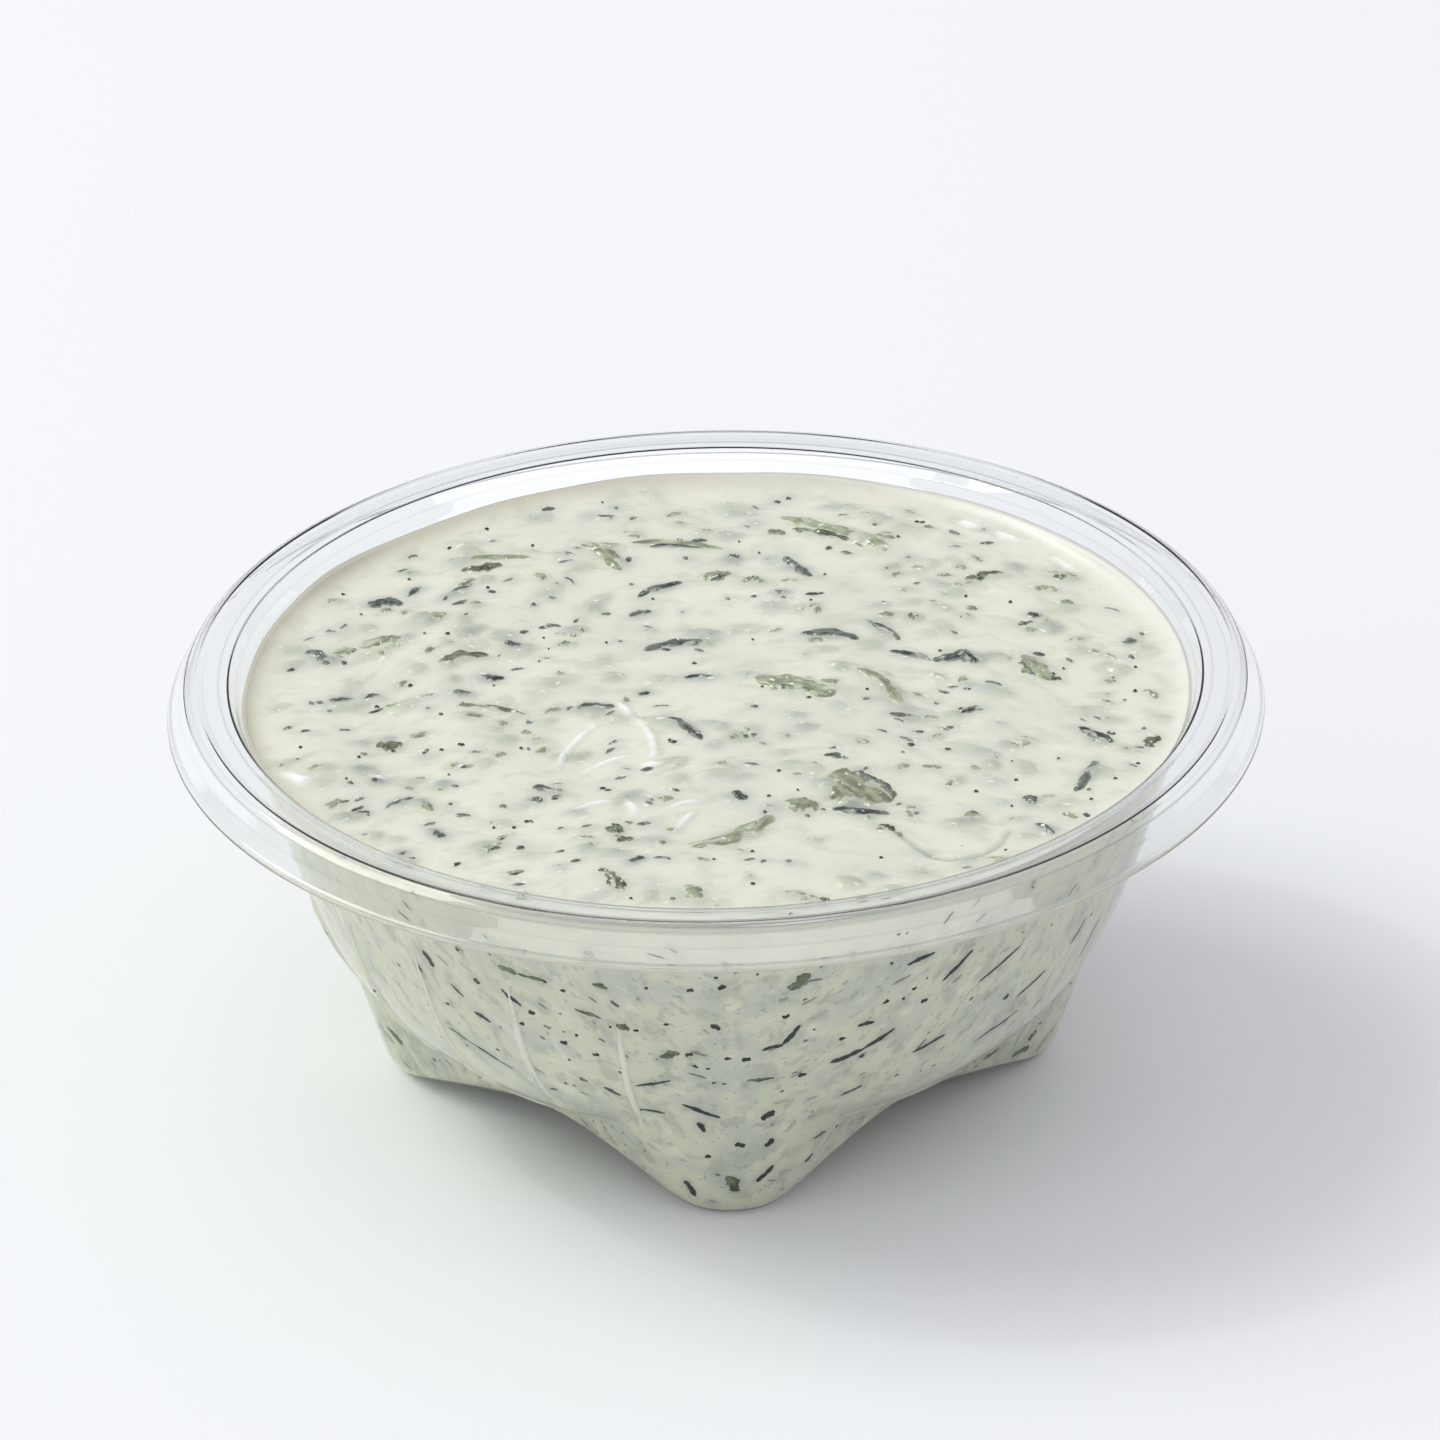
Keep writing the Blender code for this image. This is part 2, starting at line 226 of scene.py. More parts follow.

# Pieces in the dip's surface, read off the photograph: the pixels of both ends, then the width, the
# rise over the surface and the bend.
CUCUMBER_SEEN = (
    (828, 775, 888, 800, 6.0, 0.9, 0.0), (754, 674, 838, 694, 3.0, 0.6, -0.3),
    (689, 847, 775, 811, 2.3, 0.6, -1.0), (777, 515, 890, 551, 2.6, 0.6, 0.5),
    (583, 545, 622, 570, 2.0, 0.6, 0.2), (407, 623, 448, 617, 2.2, 0.6, 0.0),
    (358, 645, 409, 641, 1.6, 0.5, 0.3), (1021, 654, 1049, 678, 2.6, 0.6, 0.0),
    (783, 802, 820, 804, 2.2, 0.6, 0.2), (701, 578, 732, 572, 2.0, 0.6, 0.0),
    (850, 665, 904, 703, 1.8, 0.4, 0.8), (683, 886, 703, 900, 1.8, 0.5, 0.2),
    (963, 814, 982, 814, 2.0, 0.4, 0.0), (1047, 572, 1079, 574, 1.8, 0.5, 0.0),
    (446, 556, 534, 559, 1.0, 0.4, 0.5), (630, 545, 724, 547, 1.0, 0.4, 0.6),
    (742, 580, 764, 582, 1.4, 0.5, 0.0), (558, 643, 573, 645, 1.5, 0.4, 0.0),
    (418, 800, 432, 809, 1.2, 0.4, 0.0), (475, 854, 505, 843, 1.3, 0.4, 0.2),
)
SKIN_SEEN = (
    (307, 650, 332, 664, 1.7, 0.5, 0.0), (366, 602, 403, 598, 1.8, 0.5, 0.2),
    (785, 552, 814, 576, 1.3, 0.4, -0.3), (642, 647, 714, 637, 1.4, 0.5, 0.6),
    (799, 631, 860, 637, 1.3, 0.4, 0.5), (932, 657, 969, 650, 1.4, 0.5, -0.5),
    (573, 708, 616, 704, 1.4, 0.4, 0.2), (666, 716, 701, 741, 1.3, 0.4, 0.4),
    (1076, 723, 1113, 741, 1.3, 0.4, 0.2), (830, 804, 890, 810, 1.3, 0.4, 0.3),
    (1074, 791, 1095, 759, 1.3, 0.4, -0.4), (532, 786, 556, 792, 1.2, 0.4, 0.1),
    (636, 595, 683, 580, 1.2, 0.4, 0.3), (407, 592, 420, 582, 0.8, 0.3, 0.0),
    (479, 676, 505, 677, 1.1, 0.3, 0.0), (328, 700, 354, 697, 0.7, 0.3, 0.1),
    (364, 696, 379, 692, 1.0, 0.3, 0.0), (452, 692, 471, 693, 1.1, 0.35, 0.0),
    (442, 600, 477, 582, 0.8, 0.3, 0.4), (505, 637, 524, 647, 1.2, 0.35, 0.1),
    (628, 613, 652, 609, 0.7, 0.3, 0.1), (773, 594, 787, 595, 0.8, 0.3, 0.0),
    (863, 622, 900, 638, 0.8, 0.35, 0.4), (683, 676, 714, 676, 0.6, 0.3, 0.1),
    (638, 692, 650, 690, 0.6, 0.25, 0.0), (728, 554, 740, 554, 1.3, 0.35, 0.0),
    (1027, 613, 1041, 616, 0.8, 0.3, 0.0), (888, 648, 932, 657, 0.8, 0.35, 0.4),
    (955, 650, 978, 664, 1.7, 0.5, 0.2), (1125, 641, 1137, 641, 1.2, 0.35, 0.0),
    (960, 710, 979, 706, 1.0, 0.35, 0.0), (888, 712, 920, 714, 0.9, 0.3, 0.2),
    (356, 768, 370, 769, 0.8, 0.3, 0.0), (371, 780, 383, 781, 0.9, 0.3, 0.0),
    (385, 809, 414, 795, 0.5, 0.25, 0.2), (355, 815, 370, 813, 0.7, 0.25, 0.0),
    (395, 851, 407, 849, 0.7, 0.25, 0.0), (430, 830, 446, 837, 1.1, 0.3, 0.0),
    (531, 799, 543, 800, 0.9, 0.35, 0.0), (628, 866, 646, 860, 0.7, 0.3, 0.1),
    (733, 792, 745, 800, 1.2, 0.35, 0.0), (1024, 793, 1035, 802, 1.2, 0.45, 0.2),
    (1035, 823, 1054, 836, 0.9, 0.35, 0.2),
)
HERB_SEEN = (
    (460, 569, 503, 566, 1.8, 0.5, 0.2), (437, 664, 489, 652, 1.6, 0.5, 0.3),
    (375, 743, 403, 743, 1.8, 0.5, 0.2), (608, 832, 622, 827, 1.9, 0.5, 0.0),
    (606, 874, 622, 891, 1.5, 0.5, 0.2), (1148, 749, 1159, 737, 1.5, 0.4, 0.2),
    (964, 579, 1010, 576, 1.4, 0.4, 0.3), (903, 618, 922, 619, 1.2, 0.4, 0.0),
    (616, 842, 634, 839, 1.2, 0.35, 0.0), (878, 823, 894, 829, 1.3, 0.45, 0.0),
    (454, 704, 526, 711, 0.8, 0.25, 0.5),
)
# Folds of cream, raised and painted near white as highlights, read in the same way. Drops, raised and painted
# near white in the same way: x, y, length, width, heading, rise and bend.
FOLDS_SEEN = (
    (612, 697, 634, 716, 0.9, 0.35, 0.2), (634, 716, 653, 759, 0.9, 0.45, 0.8),
    (600, 721, 558, 764, 0.9, 0.45, -0.9), (586, 765, 632, 752, 0.9, 0.35, 0.4),
    (575, 810, 617, 801, 0.9, 0.4, 0.3), (624, 800, 638, 813, 1.1, 0.35, 0.1),
    (675, 831, 695, 810, 0.8, 0.35, 0.2), (284, 775, 308, 786, 1.6, 0.4, 0.1),
)
HIGHLIGHT_DROPS = (
    (-6.4, 47.6, 3.2, 1.4, 8.0, 0.45, 0.0), (-1.5, 48.4, 4.2, 1.0, 2.0, 0.4, 0.0),
    (7.0, 48.0, 5.5, 0.9, -8.0, 0.35, 0.0), (-14.5, -36.8, 1.6, 1.0, 20.0, 0.35, 0.0),
    (4.8, -15.2, 2.2, 1.5, 30.0, 0.3, 0.0), (14.0, -19.5, 3.2, 0.8, 60.0, 0.35, 0.2),
)
# Pixels of the crease that runs in a loop at the front right. The raised lobe beside it: x, y and radius.
LOOP_SEEN = ((893, 828), (914, 843), (936, 855), (969, 857), (996, 846), (1010, 828))
LOBE = (38.5, -5.2, 5.6)

# Pieces behind the wall: the pixels of both ends and the width.
WALL_SKIN_SEEN = (
    (424, 950, 434, 966, 0.6), (416, 960, 422, 971, 0.35), (474, 978, 480, 983, 0.45),
    (502, 989, 521, 1005, 0.4), (475, 1011, 491, 1021, 0.45), (451, 983, 464, 996, 0.25),
    (470, 1040, 513, 1067, 0.3), (550, 1087, 558, 1088, 0.35), (604, 1086, 621, 1094, 0.45),
    (636, 1085, 670, 1080, 0.35), (683, 1104, 719, 1117, 0.4), (698, 1122, 705, 1131, 0.45),
    (686, 1180, 696, 1195, 0.55), (634, 1107, 665, 1112, 0.4), (711, 1024, 720, 1029, 0.5),
    (763, 1049, 783, 1044, 0.4), (783, 1044, 800, 1025, 0.45), (831, 1062, 862, 1049, 0.55),
    (862, 1049, 894, 1028, 0.45), (913, 1051, 944, 1034, 0.4), (943, 980, 972, 950, 0.4),
    (980, 980, 1020, 945, 0.3), (1016, 996, 1044, 970, 0.35), (1003, 999, 1008, 993, 0.5),
    (1070, 943, 1085, 917, 0.3), (1078, 956, 1098, 917, 0.3), (983, 1034, 1016, 1010, 0.3),
    (973, 1041, 993, 1026, 0.25), (908, 964, 934, 952, 0.45), (840, 1094, 862, 1084, 0.4),
    (762, 1119, 774, 1110, 0.6), (735, 1144, 745, 1145, 0.5), (766, 1146, 773, 1138, 0.5),
    (757, 1181, 773, 1165, 0.45), (803, 1162, 812, 1152, 0.5), (858, 1025, 874, 1021, 0.4),
)
WALL_HERB_SEEN = (
    (498, 965, 517, 973, 0.8), (517, 973, 547, 981, 0.5), (449, 1026, 470, 1040, 0.55),
    (579, 1076, 588, 1081, 0.55), (592, 983, 608, 988, 0.7), (574, 1008, 602, 1018, 0.5),
    (616, 1024, 630, 1029, 0.9), (660, 1056, 680, 1052, 1.0), (728, 1175, 738, 1192, 1.3),
    (387, 1024, 406, 1046, 1.0), (789, 990, 811, 973, 1.4), (746, 1080, 775, 1077, 0.55),
    (1012, 1053, 1031, 1045, 1.0), (1027, 1041, 1035, 1029, 0.8), (981, 1060, 1000, 1046, 0.6),
    (810, 1138, 826, 1130, 0.8),
)
# Specks of pepper: a pixel and the size.
WALL_PEPPER_SEEN = (
    (532, 1012, 0.75), (522, 1023, 0.6), (564, 1042, 0.75), (596, 1054, 0.65), (636, 1030, 0.5),
    (690, 990, 0.65), (722, 987, 0.8), (666, 1024, 0.5), (689, 1054, 0.7), (708, 1068, 0.4),
    (714, 1082, 0.4), (728, 1058, 0.55), (786, 1016, 0.7), (746, 1059, 0.85), (727, 1058, 0.5),
    (802, 1074, 0.8), (924, 1000, 0.7), (914, 988, 0.5), (886, 1001, 0.6), (842, 1038, 0.6),
    (896, 1074, 0.55), (933, 1064, 0.45), (448, 1003, 0.5), (563, 990, 0.55), (708, 1156, 0.6),
)
TOP_PEPPER_SEEN = (
    (461, 745, 0.75), (521, 745, 0.4), (528, 745, 0.4), (493, 821, 0.6), (526, 820, 0.4), (531, 820, 0.45),
    (343, 592, 0.5), (281, 627, 0.4), (631, 896, 0.4), (961, 706, 0.5),
)


def amount(name, text, default, **limits):
    return FloatProperty(name=name, description=text, default=default, **limits)


def whole(name, text, default, least=0):
    return IntProperty(name=name, description=text, default=default, min=least)


def tint(name, text, default):
    return FloatVectorProperty(name=name, description=text, default=default, subtype="COLOR", size=3)


def watts(name, text, default):
    return FloatProperty(name=name, description=text, default=default, subtype="POWER", unit="POWER")


class TubSettings(bpy.types.PropertyGroup):
    """The formed clear tub."""
    sheet: amount("Sheet", "Thickness of the plastic, in mm", 0.5, min=0.3, max=0.8)
    rim_sheet: amount("Rim sheet", "Thickness of the rim, in mm", 0.32, min=0.2)
    columns: whole("Columns", "Even columns of faces round the tub", 288, 64)
    rounding: amount("Rounding", "Reach of each rounded fold, in mm", 0.6)
    rim_rounding: amount("Rim rounding", "Reach of the rim's folds, in mm", 0.2)
    rib_width: amount("Rib width", "Half the width of a rib, in mm", 0.55)
    rib_height: amount("Rib height", "Height of a rib over the wall, in mm", 0.35)
    colour: tint("Colour", "Tint of the plastic", (0.97, 0.985, 0.985))
    # The edge tint is a painted dark line at the folds, standing in for the dark refraction seen there.
    edge: tint("Edge", "Tint of the plastic where it folds", (0.10, 0.11, 0.12))
    roughness: amount("Roughness", "Roughness of the plastic", 0.02)


class CreamSettings(bpy.types.PropertyGroup):
    """The cream that fills the tub."""
    cells: whole("Cells", "Cells along one side of the top's mesh", 256, 32)
    climb: amount("Climb", "How far the cream climbs the wall, in mm", 1.0)
    colour: tint("Cream", "Colour of the cream", (0.800, 0.815, 0.680))
    cloud: tint("Cloud", "Cream over a piece of skin", (0.30, 0.36, 0.345))
    green: tint("Green", "Cream over a piece of cucumber", (0.40, 0.46, 0.33))
    roughness: amount("Roughness", "Roughness of the wet cream", 0.24)


class PieceSettings(bpy.types.PropertyGroup):
    """The pieces in the cream."""
    seed: IntProperty(name="Seed", description="Start of every random draw", default=11)
    flakes: whole("Flakes", "Small flakes on the top", 230)
    crumbs_flesh: whole("Crumbs", "Crumbs of cucumber on the top", 150)
    specks: whole("Specks", "Pepper specks on the top", 90)
    wall_specks: whole("Wall specks", "Pepper specks behind the wall", 150)
    wall_flakes: whole("Wall flakes", "Flakes behind the wall", 400)
    skin: tint("Skin", "Colour of cucumber skin", (0.018, 0.026, 0.021))
    skin_light: tint("Skin light", "Lighter tone of cucumber skin", (0.17, 0.205, 0.17))
    flesh: tint("Flesh", "Colour of cucumber flesh", (0.190, 0.215, 0.135))
    herb: tint("Herb", "Colour of the herbs", (0.050, 0.070, 0.038))
    herb_light: tint("Herb light", "Lighter tone of the herbs", (0.22, 0.25, 0.15))
    pepper: tint("Pepper", "Colour of the pepper", (0.012, 0.012, 0.010))
    pepper_light: tint("Pepper light", "Lighter tone of the pepper", (0.05, 0.045, 0.035))


class StageSettings(bpy.types.PropertyGroup):
    """Floor, light and camera."""
    floor: tint("Floor", "Colour of the floor", (0.905, 0.93, 0.94))
    key: watts("Key", "Power of the large lamp", 18.0)
    spark: watts("Spark", "Power of the small bright lamp", 3.0)
    card: watts("Card", "Power of the card that the tub's rim mirrors", 26.0)
    strips: watts("Strip", "Power of the narrow lamp", 0.8)
    sky: amount("Sky", "Strength of the light all round", 0.70)
    sky_colour: tint("Sky colour", "Colour of the light all round", (0.94, 0.92, 1.0))
    lens: amount("Lens", "Focal length, in mm", VIEW_LENS)


def settings(kind):
    return getattr(bpy.context.scene, "tzatziki_" + kind)


def round_max(a, b, blend):
    """The larger of two radii, with the corner between them rounded."""
    near = np.maximum(blend - np.abs(a - b), 0.0) / blend
    return np.maximum(a, b) + near * near * blend / 4.0


def round_min(a, b, blend):
    return -round_max(-a, -b, blend)


def panel_angle(angle):
    """Angle from the middle of the nearest side of the base, from -45 to 45 degrees."""
    quarter = math.pi / 2.0
    return (angle + quarter / 2.0) % quarter - quarter / 2.0


def wall_radius(depth):
    curve = np.maximum(depth - CURVE_START_DEPTH, 0.0)
    return WALL_TOP_RADIUS - WALL_FLARE * (depth - WALL_TOP_DEPTH) - CURVE_RATE * curve ** 3


def base_radius(angle, z):
    """Outline of the square base: slightly hollow sides, and corners cut across by the faces of the feet."""
    off_side = panel_angle(angle)
    off_foot = math.pi / 4.0 - np.abs(off_side)
    height = np.minimum(z, FOOT_TOP)
    side = SIDE_REACH + SIDE_LEAN * height - SIDE_HOLLOW * np.cos(2.0 * off_side) ** 2
    foot = FOOT_REACH + FOOT_LEAN * height
    return round_min(side / np.cos(off_side), foot / np.cos(off_foot), FOOT_ROUNDING)


def body_radius(angle, z, bowl):
    return round_max(bowl, base_radius(angle, z), JOIN_ROUNDING)


def arch(angle):
    """Height of the base's lower edge over the floor."""
    share = np.tan(np.abs(panel_angle(angle))) / math.tan(ARCH_END)
    return ARCH_HEIGHT * np.maximum(1.0 - share * share, 0.0) ** ARCH_POWER


def row(radius, height, angles):
    """Radius and height of one row of points, one for each column."""
    return np.stack(np.broadcast_arrays(radius, height, angles)[:2], axis=-1).astype(float)


def rim_rows(angles):
    return [row(radius, RIM_HEIGHT + rise, angles) for radius, rise, _ in RIM_SECTION]


def wall_rows(angles, first_depth, count):
    """Rows down the bowl, from first_depth, which may differ round the tub."""
    rows = []
    for share in np.linspace(0.0, 1.0, count):
        depth = first_depth + (WALL_END_DEPTH - first_depth) * share
        z = RIM_HEIGHT - depth
        rows.append(row(body_radius(angles, z, wall_radius(depth)), z, angles))
    return rows


def base_rows(angles, sheet):
    """From the turn under the bowl down the side of the base and in across the sole to the raised floor."""
    wall_end = wall_radius(WALL_END_DEPTH)
    low = sheet + arch(angles)
    rows = [row(body_radius(angles, z, wall_end - inset), z, angles) for z, inset in TURN_ROWS]
    for share in SIDE_STEPS:
        z = low + (SIDE_TOP - low) * share
        rows.append(row(base_radius(angles, z), z, angles))
    sole = base_radius(angles, low)
    for rise, inset in EDGE_ROWS:
        rows.append(row(sole - inset, low + rise, angles))
    floor = sheet + FLOOR_RISE
    rows.append(row(sole * SOLE_SHARE, low, angles))
    rows.append(row(sole * POCKET_INNER_SHARE, floor - (floor - low) * POCKET_SHARE, angles))
    rows.append(row(FLOOR_RADIUS, floor, angles))
    return rows


def rounded(rows, reach, steps=CORNER_STEPS):
    """The rows with each corner between them turned into a short curve."""
    result = [rows[0]]
    for before, corner, after in zip(rows, rows[1:], rows[2:]):
        back, ahead = before - corner, after - corner
        long_back = np.linalg.norm(back, axis=-1, keepdims=True)
        long_ahead = np.linalg.norm(ahead, axis=-1, keepdims=True)
        cut = np.minimum(reach, 0.45 * np.minimum(long_back, long_ahead))
        start = corner + back * cut / long_back
        end = corner + ahead * cut / long_ahead
        for t in np.linspace(0.0, 1.0, steps):
            result.append(start * (1.0 - t) ** 2 + corner * 2.0 * t * (1.0 - t) + end * t ** 2)
    result.append(rows[-1])
    return result


def spin(rows, angles):
    """Points of a surface as an array of rows, columns and x, y, z."""
    radius, height = np.moveaxis(np.array(rows), -1, 0)
    return np.stack((radius * np.cos(angles), radius * np.sin(angles), height), axis=-1)


def outward(points):
    """Unit normals of rows that run downwards, pointing away from the axis."""
    down = np.gradient(points, axis=0)
    around = np.roll(points, -1, axis=1) - np.roll(points, 1, axis=1)
    normal = np.cross(down, around)
    return normal / np.maximum(np.linalg.norm(normal, axis=2, keepdims=True), 1e-9)


def grid_faces(start, rows, columns, flip=False):
    """Faces between rows of vertices that close into rings, numbered from start."""
    faces = []
    for i in range(rows - 1):
        for j in range(columns):
            k = (j + 1) % columns
            a, b = start + i * columns, start + (i + 1) * columns
            face = (a + j, b + j, b + k, a + k)
            faces.append(face[::-1] if flip else face)
    return faces


def fan(ring, centre, flip=False):
    faces = [(ring[i], ring[(i + 1) % len(ring)], centre) for i in range(len(ring))]
    return [face[::-1] for face in faces] if flip else faces


def make_piece(name, points, faces, finish, masks=None):
    """A mesh object from points in millimetres, riding on the part. Each mask has a value for each point."""
    data = bpy.data.meshes.new(name)
    data.from_pydata((np.asarray(points) * MM).tolist(), [], faces)
    mesh = bmesh.new()
    mesh.from_mesh(data)
    bmesh.ops.recalc_face_normals(mesh, faces=mesh.faces)
    mesh.to_mesh(data)
    mesh.free()
    data.shade_smooth()
    for mask, values in (masks or {}).items():
        attribute = data.attributes.new(mask, "FLOAT", "POINT")
        attribute.data.foreach_set("value", np.asarray(values, np.float32))
    data.materials.append(finish)
    piece = bpy.data.objects.new(name, data)
    bpy.context.scene.collection.objects.link(piece)
    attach(piece, "root")
    return piece


def turned(x, y, heading):
    """The distances along a heading in degrees, and across it to the left."""
    c, s = math.cos(math.radians(heading)), math.sin(math.radians(heading))
    return c * x + s * y, c * y - s * x


def field(x, y, scale, seed, stretch=1.0, heading=0.0):
    """Smooth noise from -1 to 1 over points, with lumps of the given size in millimetres."""
    along, across = turned(x.ravel(), y.ravel(), heading)
    places = zip((along / (scale * stretch)).tolist(), (across / scale).tolist())
    return np.array([noise.noise(Vector((u, v, seed))) for u, v in places]).reshape(x.shape)


def ring_noise(angles, scale, seed):
    """Smooth noise from -1 to 1 round the tub."""
    return np.array([noise.noise(Vector((math.cos(a) * scale, math.sin(a) * scale, seed))) for a in angles])


def top_flow(x, y):
    """Coordinates along and across the drift of the cream, which bows across the tub, and a depth."""
    along, across = turned(x, y, DRIFT_HEADING)
    swirl = DRIFT_SWIRL * field(x, y, DRIFT_SWIRL_SIZE, 2.2)
    return along, across + along * along / (2.0 * DRIFT_BOW) + swirl, np.zeros_like(x)


def from_foot(angle):
    """Angle from the nearer of the two feet that the streaks behind the wall rise from, -90 to 90 degrees."""
    return (angle + math.pi / 4.0 + math.pi / 2.0) % math.pi - math.pi / 2.0


def wall_flow(angle, radius, z):
    """Coordinates along and across the streaks behind the wall, and a depth unlike on a foot's two sides."""
    off = from_foot(angle)
    away = np.abs(off) * radius
    across = z - STREAK_SLOPE * away - away * away / STREAK_BOW
    return away + 0.5 * z, across, STREAK_SHIFT * np.sin(2.0 * off)


def wall_slope(angle, radius):
    """Slope in degrees of the streaks at an angle round the wall."""
    off = from_foot(angle)
    return math.degrees(math.copysign(math.atan(STREAK_SLOPE + 2.0 * abs(off) * radius / STREAK_BOW), off))


def smooth_step(low, high, value):
    t = np.clip((value - low) / (high - low), 0.0, 1.0)
    return t * t * (3.0 - 2.0 * t)


def dip_height(x, y):
    """Height of the dip's surface: slow swirls round the middle and broad swells across it."""
    radius = np.hypot(x, y)
    turn = np.arctan2(y, x)
    calm = np.minimum(radius / CALM_RADIUS, 1.0)
    height = np.full_like(radius, DIP_LEVEL)
    for rise, per_mm, turns, phase in SWIRLS:
        height = height + rise * calm * np.sin(per_mm * radius + turns * turn + phase)
    for rise, along_x, along_y, phase in SWELLS:
        height = height + rise * np.sin(along_x * x + along_y * y + phase)
    return height


def deepen(mask, area, share):
    """Raises a mask in an area to a share, where it is lower."""
    mask[area] = np.maximum(mask[area], np.clip(share, 0.0, 1.0))


class TopSurface:
    """The dip's top as a height map, with the clouds that sunk pieces make in the cream, the painted highlight
    on its folds and the painted shade in the loop's crease.
    """
    HALF = 53.0
    CELL = 0.25

    # Size, seed, stretch and heading of the noise in each layer of unevenness, and the height of two of them.
    SWELL = (6.5, 0.3, 1.7, 50.0)
    LUMPS = (2.2, 5.1, 1.8, 45.0)
    GRAIN = (0.9, 9.7, 1.6, 40.0)
    SWELL_RISE = 0.16
    LUMP_RISE = 0.07

    # How far a piece's cover and its cloud reach past it, and how fast the cloud and the wetness fade.
    COVER_MARGIN = 0.5
    CLOUD_MARGIN = 1.8
    CLOUD_FALL = 1.8
    WET_FALL = 1.2

    # The crease of the loop, which is painted darker as shade, the low lip beside it, and the lobe.
    CREASE_DEPTH = 0.28
    CREASE_WIDTH = 0.30
    CREASE_PAINTED_SHADE = 0.85
    LIP_RISE = 0.10
    LIP_PLACE = 0.75
    LIP_WIDTH = 0.5
    LOBE_RISE = 0.22

    # Height of the fine grain on calm cream, and what wet cream adds.
    CALM_GRAIN = 0.015
    WET_GRAIN = 0.085

    def __init__(self, seed):
        self.line = np.arange(-self.HALF, self.HALF + self.CELL, self.CELL)
        self.x, self.y = np.meshgrid(self.line, self.line, indexing="ij")
        self.base = dip_height(self.x, self.y) + self.SWELL_RISE * self.layer(seed, *self.SWELL)
        self.lumps = self.layer(seed, *self.LUMPS)
        self.grain = self.layer(seed, *self.GRAIN)
        self.height = self.base + self.LUMP_RISE * self.lumps
        self.wet = np.zeros_like(self.x)
        self.clouds = {name: np.zeros_like(self.x) for name in ("skin_cloud", "green_cloud_and_crease_shade", "fold")}

    def layer(self, seed, size, shift, stretch, heading):
        return field(self.x, self.y, size, seed + shift, stretch, heading)

    def window(self, x, y, reach):
        """The part of the map within reach of a point."""
        middle = np.array((x, y))
        first = np.floor((middle - reach + self.HALF) / self.CELL)
        last = np.ceil((middle + reach + self.HALF) / self.CELL)
        first, last = np.clip((first, last), 0, len(self.line)).astype(int)
        return slice(first[0], last[0]), slice(first[1], last[1])

    def offset(self, piece, margin):
        """How far each point of the window round a piece lies from its middle, 1 at its outline."""
        x, y, length, width, heading, _, bend = piece
        area = self.window(x, y, length / 2.0 + margin + abs(bend))
        along, across = turned(self.x[area] - x, self.y[area] - y, heading)
        across = across - bend * (1.0 - (2.0 * along / length) ** 2)
        return area, np.hypot(along / (length / 2.0 + margin * 0.6), across / (width / 2.0 + margin * 0.6))

    def sink(self, piece, cloud, bury, strength):
        """Raises the cream over a piece and clouds it round about."""
        area, off = self.offset(piece, self.COVER_MARGIN)
        cover = np.sqrt(np.clip(1.0 - off * off, 0.0, 1.0))
        share = np.clip(bury + 0.45 * self.lumps[area] + 0.30 * self.grain[area], 0.15, 1.3)
        self.height[area] += piece[5] * cover * share
        area, off = self.offset(piece, self.CLOUD_MARGIN)
        halo = np.exp(-self.CLOUD_FALL * off * off) * strength * (0.75 + 0.5 * self.lumps[area])
        deepen(self.clouds[cloud], area, halo)
        deepen(self.wet, area, np.exp(-self.WET_FALL * off * off))

    def fold(self, piece):
        """Raises a fold of cream on the surface and paints it near white, a painted highlight."""
        area, off = self.offset(piece, 0.0)
        ridge = np.clip(1.15 - off * off * (1.0 + 0.9 * self.grain[area] + 0.5 * self.lumps[area]), 0.0, 1.0)
        self.height[area] += 0.9 * piece[5] * ridge
        deepen(self.clouds["fold"], area, ridge)

    def loop(self, line, lobe):
        """A thin crease along a line, painted darker as shade, and a low lobe beside it."""
        line = catmull(line, 10)
        near = np.full_like(self.x, 2.0 * self.HALF)
        for a, b in zip(line, line[1:]):
            side = b - a
            t = np.clip(((self.x - a[0]) * side[0] + (self.y - a[1]) * side[1]) / side.dot(side), 0.0, 1.0)
            near = np.minimum(near, np.hypot(self.x - a[0] - t * side[0], self.y - a[1] - t * side[1]))
        crease = np.exp(-(near / self.CREASE_WIDTH) ** 2)
        self.height -= self.CREASE_DEPTH * crease
        self.height += self.LIP_RISE * np.exp(-((near - self.LIP_PLACE) / self.LIP_WIDTH) ** 2)
        # The crease is painted darker, as shade.
        deepen(self.clouds["green_cloud_and_crease_shade"], ..., self.CREASE_PAINTED_SHADE * crease)
        off = np.hypot(self.x - lobe[0], self.y - lobe[1]) / lobe[2]
        self.height += self.LOBE_RISE * np.clip(1.0 - off * off, 0.0, 1.0)

    def ripple(self):
        """Fine unevenness, stronger near pieces, where the cream breaks up."""
        self.height += self.grain * (self.CALM_GRAIN + self.WET_GRAIN * self.wet)

    def sample(self, values, x, y):
        """A map's value between its points."""
        u = np.clip((np.asarray(x) + self.HALF) / self.CELL, 0.0, len(self.line) - 1.001)
        v = np.clip((np.asarray(y) + self.HALF) / self.CELL, 0.0, len(self.line) - 1.001)
        i, j = u.astype(int), v.astype(int)
        u, v = u - i, v - j
        return (values[i, j] * (1 - u) * (1 - v) + values[i + 1, j] * u * (1 - v)
                + values[i, j + 1] * (1 - u) * v + values[i + 1, j + 1] * u * v)


def catmull(points, steps):
    """A smooth line through the points."""
    points = np.array(points, float)
    ends = np.vstack((2 * points[0] - points[1], points, 2 * points[-1] - points[-2]))
    line = []
    for a, b, c, d in zip(ends, ends[1:], ends[2:], ends[3:]):
        for t in np.arange(steps) / steps:
            line.append(0.5 * (2 * b + (c - a) * t + (2 * a - 5 * b + 4 * c - d) * t ** 2
                               + (3 * b - a - 3 * c + d) * t ** 3))
    line.append(points[-1])
    return np.array(line)


